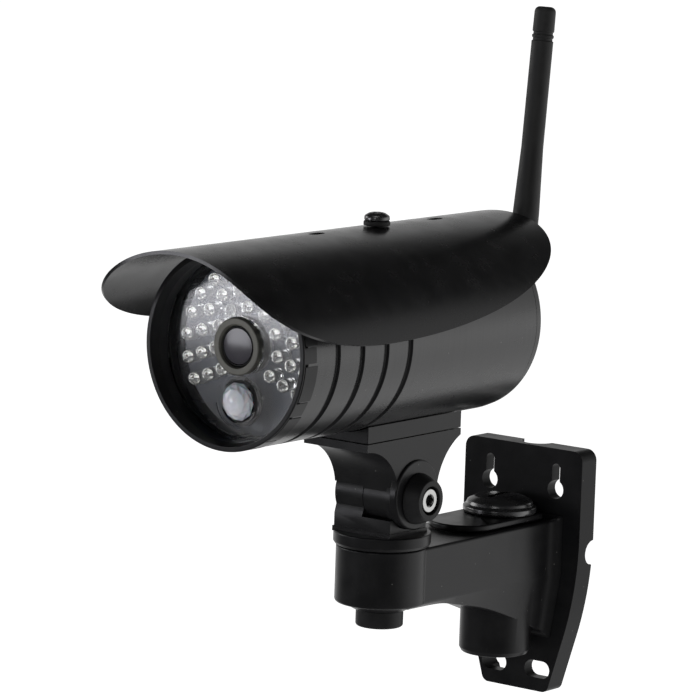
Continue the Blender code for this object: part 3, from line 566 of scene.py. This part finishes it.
def make_arm_fittings():
    nose = arc((0, DUCT_FRONT), cover_high.x, 180, 360, 40)
    outline = nose + [(cover_high.x, cover_high.y), (-cover_high.x, cover_high.y)]
    piece("duct_lid", prism(outline, "Z", cover_low.z, cover_high.z), PAINT, "bracket", ["duct_cover"],
          steps=[("cut", prism(circle(BOSS, BOSS_BORE), "Z", 10, 30))], edge=0.7)
    base, top, radius = cover_high.z + GAP, cap_high.z, cap_high.x
    dome = [(0, cap_low.z, 0), (8.6, cap_low.z, 0.3), (8.6, base, 0), (radius - 0.3, base, 0.25),
            (radius, base + 0.7, 0.3), (radius, base + 2.0, 0.5), (radius - 1.2, base + 2.8, 0.5),
            (radius - 1.6, base + 4.1, 1.2), (radius - 4.1, base + 5.5, 3.0), (5.0, top - 0.2, 4.0),
            (0, top, 0)]
    recess = prism(box_outline((-1.1, BOSS_Y - 7), (1.1, BOSS_Y + 7), 1.0), "Z", top - 1.4, top + 1)
    piece("cable_dome", lathe(dome, "Z", BOSS), GLOSS, "bracket", ["cable_cap"], steps=[("cut", recess)])
    low, high = extent("boss_plug")
    plug = [(0, low.z, 0), (high.x, low.z, 0.5), (high.x, high.z, 0.5), (0, high.z, 0)]
    ring = lathe([(5.2, low.z - 1, 0), (5.9, low.z - 1, 0), (5.9, low.z + 0.5, 0), (5.2, low.z + 0.5, 0)],
                 "Z", BOSS)
    piece("duct_plug", lathe(plug, "Z", BOSS), PLASTIC, "bracket", ["boss_plug"], steps=[("cut", ring)])
    low, high = extent("lower_cap")
    cap = [(0, low.z, 0), (high.x, low.z, 0.9), (high.x, -3.6, 0.3), (6.9, -3.6, 0), (6.9, high.z, 0.3),
           (0, high.z, 0)]
    piece("pivot_cap", lathe(cap, "Z", NOSE), PLASTIC, "bracket", ["lower_cap"])


# ---------------------------------------------------------------- turntable, saddle and tilt lock

EAR_RADIUS, EAR_FAR_X, EAR_NEAR_X = 10.4, -13.7, -1.4
CHEEK_RADIUS, CHEEK_IN_X = 11.2, 9.3
CHEEK_DISC_RADIUS, CHEEK_DISC_Z = 12.5, 39.4
TABLE_TOP, LEDGE_TOP, LEDGE_OUT_X, LEDGE_FOOT_TOP = 24.6, 30.6, 11.3, 25.9
TILT_BORE = 2.8
SEAT_SCREWS = (PIVOT_Y - 15.0, PIVOT_Y + 14.0)
TILT_NUT_RADIUS, PAN_BOLT_HOLE = 4.9, 3.5


def make_turntable():
    radius = base_high.x
    disc = [(0, base_low.z, 0), (radius - 0.8, base_low.z, 0.8), (radius, base_low.z + 1.2, 0.6),
            (radius, TABLE_TOP, 0.5), (0, TABLE_TOP, 0)]
    front, rear = PIVOT_Y - EAR_RADIUS, PIVOT_Y + EAR_RADIUS
    ear = [(front, 27.0), (front, LEDGE_TOP)] + arc(PIVOT, EAR_RADIUS, 205, 0, 44) + [(rear, 27.0)]
    foot_low = (EAR_FAR_X - 0.4, front - 0.5, TABLE_TOP - 0.6)
    steps = [("add", block((EAR_FAR_X, front, TABLE_TOP - 1), (LEDGE_OUT_X, rear, LEDGE_TOP))),
             ("add", block(foot_low, (LEDGE_OUT_X + 0.4, rear + 0.5, LEDGE_FOOT_TOP))),
             ("add", prism(ear, "X", EAR_FAR_X, EAR_NEAR_X)),
             ("cut", prism(circle(PIVOT, EAR_RADIUS + GAP, 80), "X", EAR_NEAR_X, 20)),
             ("cut", prism(circle(PIVOT, CHEEK_RADIUS + GAP, 80), "X", CHEEK_IN_X - GAP, 20)),
             ("cut", prism(circle(PIVOT, TILT_BORE, 40), "X", -20, 20)),
             ("cut", prism(circle(PIVOT, TILT_NUT_RADIUS, 6), "X", -20, -9.4)),
             ("cut", prism(circle(NOSE, PAN_BOLT_HOLE, 40), "Z", base_low.z - 1, 28.0))]
    piece("turntable_casting", lathe(disc, "Z", NOSE), PAINT, "turntable", ["pan_base"],
          steps=steps, edge=0.35)


def make_saddle():
    low, high = saddle_low, saddle_high
    seat_half = -low.x
    barrel_in = EAR_NEAR_X + GAP
    front_hollow = arc((low.y, 38.8), 18.7, 90, 6, 32)
    rear_hollow = arc((-58.5, 36.9), 23.1, 166, 114.3, 32)
    outline = [(low.y, high.z)] + front_hollow + rear_hollow + [(high.y, high.z)]
    disc = [(0, LEDGE_OUT_X + 0.6, 0), (CHEEK_DISC_RADIUS, LEDGE_OUT_X + 0.6, 0.4),
            (CHEEK_DISC_RADIUS, high.x, 0.75), (0, high.x, 0)]
    steps = [("add", prism(circle(PIVOT, EAR_RADIUS, 96), "X", barrel_in - 1, CHEEK_IN_X + 1)),
             ("add", prism(circle(PIVOT, CHEEK_RADIUS, 96), "X", CHEEK_IN_X, seat_half - 1)),
             ("add", lathe(disc, "X", (PIVOT_Y, CHEEK_DISC_Z))),
             ("cut", prism(circle(PIVOT, EAR_RADIUS + 0.4, 96), "X", -20, barrel_in)),
             ("cut", prism(circle(PIVOT, TILT_BORE, 40), "X", -3, 20))]
    steps += [("cut", prism(circle((0, y), SCREW_HOLE, 32), "Z", 54, 70)) for y in SEAT_SCREWS]
    piece("saddle_casting", prism(outline, "X", -seat_half, seat_half), PAINT, "camera", ["saddle"],
          steps=steps, edge=0.3)
    rail_low, rail_high = extent("seat_block")
    radius = TUBE_RADIUS + GAP
    reach = math.degrees(math.asin(rail_high.x / radius))
    hollow = arc(AXIS, radius, -90 - reach, -90 + reach, 24)
    outline = hollow + [(rail_high.x, rail_low.z), (rail_low.x, rail_low.z)]
    holes = [("cut", prism(circle((0, y), SCREW_HOLE, 32), "Z", 50, 70)) for y in SEAT_SCREWS]
    piece("seat_rail", prism(outline, "Y", rail_low.y, rail_high.y), PAINT, "camera", ["seat_block"],
          steps=holes, edge=0.3)


def make_tilt_lock():
    low, high = extent("tilt_collar")
    collar = [(TILT_BORE, low.x, 0), (9.2, low.x, 0.25), (9.0, low.x + 0.8, 0.5), (7.45, 20.4, 0.6),
              (7.0, high.x, 0.35), (5.1, high.x, 0.3), (5.1, low.x + 0.8, 0), (TILT_BORE, low.x + 0.8, 0)]
    piece("lock_collar", lathe(collar, "X", PIVOT), PLASTIC, "camera", ["tilt_collar"])
    seat, face = low.x + 1.1, screw_high.x
    head = [(0, screw_low.x, 0), (2.45, screw_low.x, 0.4), (2.45, seat, 0), (4.2, seat, 0.2),
            (4.2, face, 0.35), (0, face, 0)]
    socket = prism(circle(PIVOT, 2.3, 6), "X", seat + 0.4, 22)
    mouth = lathe([(0, face - 0.3, 0), (2.1, face - 0.3, 0), (2.7, face + 0.3, 0), (0, face + 0.3, 0)],
                  "X", PIVOT, 48)
    piece("socket_screw", lathe(head, "X", PIVOT, 64), STEEL, "camera", ["tilt_screw"],
          steps=[("cut", socket), ("cut", mouth)])
    liner = prism(circle(PIVOT, 2.22, 6), "X", seat + 0.5, seat + 2.2)
    piece("socket_shadow", liner, PLASTIC, "camera", ["tilt_screw"])


# ---------------------------------------------------------------- tube and front

TUBE_BORE, NECK_RADIUS, NECK_FRONT = 31.4, 33.0, -172.0
GROOVE_FIRST, GROOVE_PITCH, GROOVE_WIDTH, GROOVE_DEPTH = -166.5, 13.4, 2.9, 1.1
VISOR_SCREW_Y = -102.9
VISOR_SCREW = (0, VISOR_SCREW_Y)


def make_tube():
    front, rear = tube_low.y, tube_high.y
    profile = [(TUBE_BORE, NECK_FRONT, 0), (NECK_RADIUS, NECK_FRONT, 0), (NECK_RADIUS, front, 0.2),
               (TUBE_RADIUS, front, 0.35)]
    for k in range(4):
        middle = GROOVE_FIRST + GROOVE_PITCH * k
        low, high = middle - GROOVE_WIDTH / 2, middle + GROOVE_WIDTH / 2
        floor = TUBE_RADIUS - GROOVE_DEPTH
        profile += [(TUBE_RADIUS, low, 0.18), (floor, low + 0.25, 0.3), (floor, high - 0.25, 0.3),
                    (TUBE_RADIUS, high, 0.18)]
    profile += [(TUBE_RADIUS, rear, 0.3), (TUBE_BORE, rear, 0)]
    bore = prism(circle(VISOR_SCREW, 2.2, 32), "Z", AXIS_Z + 25, AXIS_Z + 40)
    piece("tube_shell", lathe(profile, "Y", AXIS, 160), TURNED, "camera", ["body_tube"],
          steps=[("cut", bore)])


GRIP_PADS, GRIP_START, GRIP_SPAN = 11, -24, 21


def make_front_ring():
    """A lip with a tapered throat and, behind it, a grip band of staggered pads."""
    front, rear = ring_low.y, ring_high.y
    outer, band = ring_high.x, ring_high.x - 0.9
    throat = panel_low.y - GAP
    profile = [(32.6, front, 0.25), (outer, front, 0.45), (outer, front + 0.75, 0.15),
               (band, front + 0.85, 0), (band, rear, 0), (32.7, rear, 0), (32.7, throat, 0),
               (31.2, throat, 0.15), (31.5, front + 3.4, 1.0)]
    steps = []
    for k in range(GRIP_PADS):
        start = 360 / GRIP_PADS * k + GRIP_START
        for a, b, low, high in ((start, start + GRIP_SPAN, front + 1.25, rear),
                                (start - 10, start - 1, front + 0.6, rear - 0.75)):
            outline = arc(AXIS, outer - 0.02, a, b, 10) + arc(AXIS, band - 0.3, b, a, 10)
            steps.append(("add", prism(outline, "Y", low, high)))
    piece("front_bezel", lathe(profile, "Y", AXIS, 160), PAINT, "camera", ["front_ring"],
          steps=steps, sharp=32)


LENS_HOLE, MOTION_HOLE = 10.1, 7.3


def make_panel():
    """A clear face plate with a stepped ring round the motion lens."""
    front, rear, radius = panel_low.y, panel_high.y, panel_high.x
    disc = [(0, front, 0), (radius, front, 0.2), (radius, rear, 0), (0, rear, 0)]
    step = lathe([(8.6, front - 1, 0), (9.3, front - 1, 0), (9.3, front + 0.35, 0), (8.6, front + 0.35, 0)],
                 "Y", PIR)
    lens_hole = prism(circle(LENS, LENS_HOLE), "Y", front - 2, rear + 2)
    motion_hole = prism(circle(PIR, MOTION_HOLE), "Y", front - 2, rear + 2)
    piece("clear_face", lathe(disc, "Y", AXIS, 128), PANEL_GLASS, "camera", ["front_panel"],
          steps=[("cut", lens_hole), ("cut", motion_hole), ("cut", step)])


LED_RINGS = ((13.7, -40.0, 9, 32.5), (19.8, -35.0, 12, 22.7), (26.0, -31.0, 15, 17.3))
LED_RADIUS = 2.35
LED_TIP = -174.75


def led_spots():
    spots = []
    for radius, start, count, step in LED_RINGS:
        for k in range(count):
            angle = math.radians(start + step * k)
            spots.append((radius * math.cos(angle), AXIS_Z + radius * math.sin(angle)))
    return spots


def make_emitters():
    """Round clear emitters, each with a bright cup and a small die under its dome."""
    board_high = extent("led_board")[1]
    board_y = board_high.y - 1.6
    disc = [(0, board_y, 0), (board_high.x, board_y, 0.2), (board_high.x, board_high.y, 0.2),
            (0, board_high.y, 0)]
    hole = prism(circle(LENS, 8.0), "Y", -180, -160)
    piece("emitter_board", lathe(disc, "Y", AXIS, 96), BOARD, "camera", ["led_board"], steps=[("cut", hole)])
    domes, cups, dies = [], [], []
    for spot in led_spots():
        dome = [(0, LED_TIP, 0), (LED_RADIUS, LED_TIP, 2.2), (LED_RADIUS, board_y - 1.1, 0),
                (LED_RADIUS + 0.25, board_y - 1.1, 0), (LED_RADIUS + 0.25, board_y - 0.05, 0),
                (0, board_y - 0.05, 0)]
        domes.append(lathe(dome, "Y", spot, 20))
        cup = [(0.25, board_y - 3.0, 0), (1.45, board_y - 4.3, 0), (1.6, board_y - 4.3, 0),
               (1.25, board_y - 2.6, 0), (0.7, board_y - 0.6, 0), (0.25, board_y - 0.6, 0)]
        cups.append(lathe(cup, "Y", spot, 14))
        x, z = spot
        dies.append(block((x - 0.28, board_y - 3.25, z - 0.28), (x + 0.28, board_y - 2.7, z + 0.28)))
        dies.append(block((x - 1.15, board_y - 4.0, z - 0.12), (x - 0.85, board_y - 0.4, z + 0.12)))
    piece("emitter_domes", merged(*domes), EPOXY, "camera", ["led_board"], sharp=35)
    piece("emitter_cups", merged(*cups), CUP, "camera", ["led_board"], sharp=35)
    piece("emitter_dies", merged(*dies), DIE, "camera", ["led_board"])


def make_lens():
    front, rear, radius = lens_low.y, lens_high.y, lens_high.x
    collar = [(7.1, front + 0.7, 0.2), (7.55, front, 0.3), (radius, front, 0.45), (radius, rear, 0.2),
              (7.1, rear, 0)]
    piece("lens_bezel", lathe(collar, "Y", LENS), LENS_METAL, "camera", ["lens_ring"])
    low, high = extent("lens_barrel")
    barrel = [(6.4, low.y, 0.12), (6.8, low.y, 0.15), (6.8, high.y, 0), (3.0, high.y, 0), (3.0, -170.0, 0),
              (4.2, -172.2, 0), (4.2, -172.8, 0), (5.2, -174.2, 0), (5.2, -174.6, 0), (6.4, -175.0, 0)]
    piece("lens_tube", lathe(barrel, "Y", LENS), PLASTIC, "camera", ["lens_barrel"])
    low, high = extent("lens_glass")
    reach, rise, sweep, steps = high.x, 0.25, 0.5, 14
    bulge = []
    for k in range(steps + 1):
        angle = sweep * k / steps
        bulge.append((reach * math.sin(angle) / math.sin(sweep),
                      low.y + rise * (1 - math.cos(angle)) / (1 - math.cos(sweep))))
    lens = [(r, y, 0) for r, y in bulge] + [(reach - 0.6, high.y, 0), (0, high.y, 0)]
    piece("front_element", lathe(lens, "Y", LENS), LENS_GLASS, "camera", ["lens_glass"])


def make_motion_lens():
    """A low milky dome cut into facets, on a plain flange."""
    low, high = pir_low, pir_high
    bands = [(0, low.y), (2.5, low.y + 0.3), (4.7, low.y + 1.25), (6.3, low.y + 2.7), (6.85, low.y + 3.9)]
    facets = 10
    mesh = bmesh.new()
    loops = []
    for number, (radius, y) in enumerate(bands):
        shift = 180 / facets * (number % 2)
        spots = arc(PIR, radius, shift, 360 + shift, facets)[:-1] if radius else [PIR]
        loops.append([mesh.verts.new(place("Y", y, a, b)) for a, b in spots])
    for number, (one, two) in enumerate(zip(loops, loops[1:])):
        for i in range(facets):
            j = (i + 1) % facets
            if len(one) == 1:
                mesh.faces.new((one[0], two[i], two[j]))
            elif number % 2:
                mesh.faces.new((one[i], one[j], two[i]))
                mesh.faces.new((one[j], two[j], two[i]))
            else:
                mesh.faces.new((one[i], one[j], two[j]))
                mesh.faces.new((one[i], two[j], two[i]))
    mesh.faces.new(loops[-1])
    flange = [(6.0, high.y - 0.9, 0), (8.6, high.y - 0.9, 0.2), (8.6, high.y, 0.2), (6.0, high.y, 0)]
    dome = piece("motion_dome", mesh, MILKY, "camera", ["pir_lens"], edge=0.35, sharp=80)
    dome.data.shade_smooth()
    piece("motion_flange", lathe(flange, "Y", PIR, 64), PLASTIC, "camera", ["pir_lens"])


# ---------------------------------------------------------------- rear

COVER_SCREWS = {"top": 90, "left": 210, "right": 330}
COVER_SCREW_CIRCLE = 26.3
COVER_SCREW_HOLE, COVER_SCREW_RECESS = 1.8, 3.1
SPIGOT_RADIUS, COVER_FACE, COVER_BOSS = 29.6, -48.8, -47.9
GLAND_DROP = 19.0
JACK_HOLE, GLAND_HOLE = 3.7, 5.3
GLAND_FLATS = 5.85


def cover_screw_spot(degrees):
    return arc(AXIS, COVER_SCREW_CIRCLE, degrees, degrees, 1)[0]


def make_rear():
    low, high = extent("rear_cap")
    profile = [(0, low.y, 0), (SPIGOT_RADIUS, low.y, 0.3), (SPIGOT_RADIUS, tube_high.y + GAP, 0.2),
               (high.x, tube_high.y + GAP, 0.3), (high.x, COVER_FACE, 0.8), (8.4, COVER_FACE, 0.1),
               (7.8, COVER_BOSS, 0.1), (0, COVER_BOSS, 0)]
    gland_z = AXIS_Z - GLAND_DROP
    steps = [("cut", prism(circle(AXIS, JACK_HOLE, 48), "Y", -60, -40)),
             ("cut", prism(circle((0, gland_z), GLAND_HOLE, 48), "Y", -60, -40))]
    for degrees in COVER_SCREWS.values():
        spot = cover_screw_spot(degrees)
        steps.append(("cut", prism(circle(spot, COVER_SCREW_HOLE, 32), "Y", -60, -40)))
        steps.append(("cut", prism(circle(spot, COVER_SCREW_RECESS, 32), "Y", COVER_FACE - 1.6, -40)))
    piece("rear_cover", lathe(profile, "Y", AXIS, 160), TURNED, "camera", ["rear_cap"], steps=steps, sharp=32)
    for name, degrees in COVER_SCREWS.items():
        spot = cover_screw_spot(degrees)
        node_low, node_high = extent(f"cap_screw_{name}")
        head = [(0, node_low.y, 0), (1.4, node_low.y, 0.3), (1.4, -50.0, 0), (2.7, -50.0, 0.2),
                (2.7, -48.9, 0.4), (1.9, node_high.y, 0.6), (0, node_high.y, 0)]
        x, z = spot
        cross = [("cut", block((x - 1.5, -49.1, z - 0.3), (x + 1.5, -47, z + 0.3))),
                 ("cut", block((x - 0.3, -49.1, z - 1.5), (x + 0.3, -47, z + 1.5)))]
        piece(f"cover_screw_{name}", lathe(head, "Y", spot, 40), STEEL, "camera", [f"cap_screw_{name}"],
              steps=cross)
    low, high = extent("cable_gland")
    gland = [(2.6, low.y, 0), (4.9, low.y, 0.2), (4.9, -48.5, 0), (7.2, -48.5, 0.3), (7.2, -44.5, 0.3),
             (6.3, -43.6, 0.3), (6.3, -39.0, 0.6), (5.0, high.y, 0.5), (2.6, high.y, 0.3)]
    flats = []
    for k in range(6):
        angle = 60 * k + 30
        turn = Matrix.Translation(Vector((0, 0, gland_z * MM))) @ Matrix.Rotation(math.radians(angle), 4, "Y")
        flat = block((-8, -43.4, GLAND_FLATS), (8, -39.4, 9))
        flat.transform(turn)
        flats.append(("cut", flat))
    piece("cable_entry", lathe(gland, "Y", (0, gland_z), 64), PLASTIC, "camera", ["cable_gland"], steps=flats)


# ---------------------------------------------------------------- antenna

ANTENNA_LEAN = math.radians(5.6)
WHIP_FOOT, WHIP_RADIUS, WHIP_NECK = 4.85, 4.0, 3.6
FORK_RADIUS, TONGUE_RADIUS, PIN_RADIUS = 4.6, 4.0, 1.5


def make_antenna():
    low, high = extent("antenna_nut")
    nut = [(3.6, low.y, 0.2), (5.4, low.y, 0.4), (5.4, high.y, 0.4), (3.6, high.y, 0.2)]
    flutes = [("cut", prism(circle(spot, 0.5, 16), "Y", low.y + 0.8, high.y - 0.8))
              for spot in circle(AXIS, 5.65, 16)]
    piece("knurled_nut", lathe(nut, "Y", AXIS, 64), PLASTIC, "antenna_base", ["antenna_nut"], steps=flutes)
    low, high = extent("antenna_knuckle")
    hinge_y, hinge_z = HINGE
    body = [(0, low.y, 0), (3.2, low.y, 0.2), (3.2, -37.1, 0), (4.6, -37.1, 0.3), (4.8, -36.0, 0.8),
            (4.8, hinge_y - 4.0, 0), (0, hinge_y - 4.0, 0)]
    ears = ([(hinge_y - 5, hinge_z - FORK_RADIUS)] + arc(HINGE, FORK_RADIUS, -90, 90, 32)
            + [(hinge_y - 5, hinge_z + FORK_RADIUS)])
    steps = [("add", prism(ears, "X", low.x + 0.1, high.x - 0.1)),
             ("cut", block((-2.3, hinge_y - 5.4, hinge_z - 6), (2.3, hinge_y + 6, hinge_z + 6))),
             ("cut", prism(circle(HINGE, PIN_RADIUS, 32), "X", -6, 6))]
    piece("hinge_fork", lathe(body, "Y", AXIS, 64), RUBBER, "antenna_base", ["antenna_knuckle"],
          steps=steps, edge=0.25)
    lean = Matrix.Translation(Vector((0, *HINGE)) * MM) @ Matrix.Rotation(-ANTENNA_LEAN, 4, "X")
    top = (extent("antenna_whip")[1].z - hinge_z) / math.cos(ANTENNA_LEAN) - 0.25
    rod = [(0, 5.2, 0), (WHIP_FOOT, 5.2, 0.6), (WHIP_FOOT, 34, 6), (4.05, 58, 8)]
    for end in (top - 12.6, top - 10.4):
        rod += [(WHIP_RADIUS, end, 0.2), (WHIP_NECK, end + 0.3, 0.1), (WHIP_NECK, end + 1.1, 0.1),
                (WHIP_RADIUS, end + 1.4, 0.2)]
    rod += [(3.9, top, 2.0), (0, top, 0)]
    whip = lathe(rod, "Z", (0, 0), 56)
    whip.transform(lean)
    foot = arc((0, 0), TONGUE_RADIUS, 180, 360, 28)
    tongue = prism([(-TONGUE_RADIUS, 6.0)] + foot + [(TONGUE_RADIUS, 6.0)], "X", -2.0, 2.0)
    tongue.transform(lean)
    piece("whip", whip, RUBBER, "antenna_rod", ["antenna_whip"],
          steps=[("add", tongue), ("cut", prism(circle(HINGE, PIN_RADIUS, 32), "X", -4, 4))], sharp=32)


# ---------------------------------------------------------------- sunshield

VISOR_RADIUS, VISOR_THICKNESS = 48.4, 1.2
VISOR_SWEEP = math.radians(69.2)
VISOR_LOW_Y = PIVOT_Y - 58.0
VISOR_CENTRE_Z = visor_high.z - VISOR_RADIUS
VISOR_FRONT_POWER, VISOR_REAR_POWER = 4.75, 3.0
VISOR_LAST_SHARE = 0.9995
VISOR_SLOT_Y, VISOR_SLOT_HALF, VISOR_SLOT_RADIUS = 33.8, 3.6, 1.7


def visor_point(radius, share, y):
    angle = VISOR_SWEEP * share
    return Vector((radius * math.sin(angle), y, VISOR_CENTRE_Z + radius * math.cos(angle))) * MM


def make_visor():
    """A rolled sheet with a rounded rim, its front and rear edges swept to a low point on each side."""
    columns, rows = 120, 24
    front_reach, rear_reach = VISOR_LOW_Y - visor_low.y, visor_high.y - VISOR_LOW_Y
    mesh = bmesh.new()
    layers = []
    for radius in (VISOR_RADIUS, VISOR_RADIUS - VISOR_THICKNESS):
        layer = []
        for i in range(columns + 1):
            share = VISOR_LAST_SHARE * math.sin(math.pi / 2 * (2 * i / columns - 1))
            front = VISOR_LOW_Y - front_reach * math.sqrt(1 - abs(share) ** VISOR_FRONT_POWER)
            rear = VISOR_LOW_Y + rear_reach * math.sqrt(1 - abs(share) ** VISOR_REAR_POWER)
            ys = [front + (rear - front) * j / rows for j in range(rows + 1)]
            layer.append([mesh.verts.new(visor_point(radius, share, y)) for y in ys])
        layers.append(layer)
    for layer in layers:
        for one, two in zip(layer, layer[1:]):
            for j in range(rows):
                mesh.faces.new((one[j], one[j + 1], two[j + 1], two[j]))
    rims = []
    for layer in layers:
        rim = [column[0] for column in layer] + layer[-1][1:]
        rim += [column[-1] for column in reversed(layer[:-1])] + list(reversed(layer[0][1:-1]))
        rims.append(rim)
    for i in range(len(rims[0])):
        mesh.faces.new((rims[0][i - 1], rims[0][i], rims[1][i], rims[1][i - 1]))
    steps = []
    for offset in (-VISOR_SLOT_Y, VISOR_SLOT_Y):
        middle = VISOR_SCREW_Y + offset
        slot = box_outline((-VISOR_SLOT_RADIUS, middle - VISOR_SLOT_HALF),
                           (VISOR_SLOT_RADIUS, middle + VISOR_SLOT_HALF), VISOR_SLOT_RADIUS - 0.01)
        steps.append(("cut", prism(slot, "Z", 125, 140)))
    steps.append(("cut", prism(circle(VISOR_SCREW, 2.3, 32), "Z", 125, 140)))
    piece("sunshield", mesh, VISOR_PAINT, "camera", ["visor"], steps=steps, edge=0.52, sharp=60)
    low, high = extent("visor_washer")
    washer = [(2.3, low.z, 0.1), (4.7, low.z, 0.3), (4.7, high.z, 0.5), (2.3, high.z, 0.1)]
    piece("shield_washer", lathe(washer, "Z", VISOR_SCREW, 64), RUBBER, "camera", ["visor_washer"])
    low, high = extent("visor_screw")
    head = high.z - 2.7
    profile = [(0, low.z, 0), (1.95, low.z, 0.3), (1.95, head, 0), (4.5, head, 0.3), (4.5, head + 1.5, 1.0),
               (2.6, high.z, 2.5), (0, high.z, 0)]
    cross = [("cut", block((-a, VISOR_SCREW_Y - b, high.z - 1.5), (a, VISOR_SCREW_Y + b, high.z + 1)))
             for a, b in ((2.5, 0.45), (0.45, 2.5))]
    piece("shield_screw", lathe(profile, "Z", VISOR_SCREW, 56), GLOSS, "camera", ["visor_screw"],
          steps=cross, edge=0.12)


# ---------------------------------------------------------------- carried-over nodes

def dress(look, *nodes):
    """Gives nodes that are shown as the frame made them their material."""
    for node in nodes:
        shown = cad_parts[node]
        shown.data.materials.clear()
        shown.data.materials.append(look)


make_wall_plate()
make_arm()
make_arm_fittings()
make_turntable()
make_saddle()
make_tilt_lock()
make_tube()
make_front_ring()
make_panel()
make_emitters()
make_lens()
make_motion_lens()
make_rear()
make_antenna()
make_visor()
dress(STEEL, "pan_washer", "arm_screw_left", "arm_screw_right", "arm_screw_low", "pan_bolt", "tilt_nut",
      "seat_screw_front", "seat_screw_rear", "pir_sensor", "wifi_module", "visor_nut", "fold_pin")
dress(RUBBER, "front_gasket", "rear_gasket")
dress(PLASTIC, "lens_holder", "electronics_sled", "processor")
dress(BOARD, "sensor_board", "main_board")
dress(BRASS, "antenna_jack")


# ---------------------------------------------------------------- studio

FLOOR_HEIGHT, FLOOR_HALF = -0.30, 40.0


def make_floor():
    """A wide white floor, lit from within so that it stays pale; it shows in no reflection."""
    mesh = bmesh.new()
    bmesh.ops.create_grid(mesh, x_segments=1, y_segments=1, size=FLOOR_HALF)
    floor = raw_object("floor", mesh)
    floor.location = (0, 0, FLOOR_HEIGHT)
    floor.visible_glossy = False
    look, tree, shader = new_material("pale_floor")
    tree.links.new(blended(tree, object_noise(tree, 400.0), (0.80, 0.80, 0.80), (0.84, 0.84, 0.84)),
                   shader.inputs["Base Color"])
    shader.inputs["Roughness"].default_value = 0.9
    shader.inputs["Specular IOR Level"].default_value = 0.0
    shader.inputs["Emission Color"].default_value = (1, 1, 1, 1)
    shader.inputs["Emission Strength"].default_value = 1.05
    floor.data.materials.append(look)


CAMERA_PLACE = (0.92419, -1.31360, 0.32121)
CAMERA_AZIMUTH, CAMERA_ELEVATION, CAMERA_ROLL = (math.radians(angle) for angle in (37.653, 8.637, 1.908))


def make_camera():
    camera = bpy.data.cameras.new("camera")
    camera.lens = 226.1
    camera.sensor_width = 36.0
    camera.clip_end = 100.0
    holder = bpy.data.objects.new("camera", camera)
    bpy.context.scene.collection.objects.link(holder)
    turn = (Matrix.Rotation(CAMERA_AZIMUTH, 4, "Z") @ Matrix.Rotation(math.pi / 2 - CAMERA_ELEVATION, 4, "X")
            @ Matrix.Rotation(CAMERA_ROLL, 4, "Z"))
    holder.matrix_world = Matrix.Translation(CAMERA_PLACE) @ turn
    bpy.context.scene.camera = holder


def area_light(name, place_at, target, size, watts, colour=(1, 1, 1)):
    light = bpy.data.lights.new(name, "AREA")
    light.color = colour
    light.shape = "RECTANGLE"
    light.size, light.size_y = size
    light.energy = watts
    holder = bpy.data.objects.new(name, light)
    bpy.context.scene.collection.objects.link(holder)
    holder.location = place_at
    holder.rotation_euler = (Vector(target) - Vector(place_at)).to_track_quat("-Z", "Y").to_euler()
    holder.visible_camera = False


SWEEP_HEIGHT = ((-1.0, 0.5), (-0.56, 0.68), (-0.3, 0.7), (-0.13, 0.9), (0.0, 0.8), (0.12, 0.52), (0.3, 0.46),
                (0.42, 0.42), (0.5, 0.02), (1.0, 0.01))
SWEEP_DEPTH = ((-1.0, 0.05), (-0.3, 0.06), (0.1, 0.45), (0.45, 1.0), (1.0, 1.0))
SWEEP_STRENGTH = 1.15


def ramp(tree, source, stops):
    """Grey values along a source that runs from -1 to 1."""
    shifted = ranged(tree, source, 0, 1, -1, 1)
    node = tree.nodes.new("ShaderNodeValToRGB")
    steps = node.color_ramp.elements
    while len(steps) < len(stops):
        steps.new(0.5)
    for step, (position, value) in zip(steps, stops):
        step.position = (position + 1) / 2
        step.color = (value, value, value, 1)
    tree.links.new(shifted, node.inputs["Fac"])
    return node.outputs["Color"]


def make_world():
    """A white sweep behind and below the camera body, a dark room above and in front of it."""
    world = bpy.data.worlds.new("studio")
    bpy.context.scene.world = world
    world.use_nodes = True
    tree = world.node_tree
    coordinates = tree.nodes.new("ShaderNodeTexCoord")
    split = tree.nodes.new("ShaderNodeSeparateXYZ")
    tree.links.new(coordinates.outputs["Generated"], split.inputs["Vector"])
    height = ramp(tree, split.outputs["Z"], SWEEP_HEIGHT)
    depth = ramp(tree, split.outputs["Y"], SWEEP_DEPTH)
    product = tree.nodes.new("ShaderNodeVectorMath")
    product.operation = "MULTIPLY"
    tree.links.new(height, product.inputs[0])
    tree.links.new(depth, product.inputs[1])
    sweep = tree.nodes["Background"]
    tree.links.new(product.outputs["Vector"], sweep.inputs["Color"])
    sweep.inputs["Strength"].default_value = SWEEP_STRENGTH
    white = tree.nodes.new("ShaderNodeBackground")
    white.inputs["Color"].default_value = (1, 1, 1, 1)
    rays = tree.nodes.new("ShaderNodeLightPath")
    mix = tree.nodes.new("ShaderNodeMixShader")
    tree.links.new(rays.outputs["Is Camera Ray"], mix.inputs["Fac"])
    tree.links.new(sweep.outputs["Background"], mix.inputs[1])
    tree.links.new(white.outputs["Background"], mix.inputs[2])
    tree.links.new(mix.outputs["Shader"], tree.nodes["World Output"].inputs["Surface"])


def make_lights():
    make_world()
    centre = (0, -0.1, 0.07)
    face = (0, panel_low.y * MM, AXIS_Z * MM)
    area_light("top_box", (0.1, -0.45, 1.3), centre, (0.5, 0.7), 1.6)
    area_light("face_box", (-0.302, -0.569, 0.088), face, (0.15, 0.12), 0.27, (0.94, 0.94, 1.0))
    area_light("key_box", (0.35, -1.25, 0.45), face, (0.35, 0.35), 0.9)
    area_light("left_box", (-1.6, -0.6, 0.5), centre, (0.8, 0.8), 5.0)
    bpy.context.scene.view_settings.view_transform = "Standard"


make_floor()
make_camera()
make_lights()
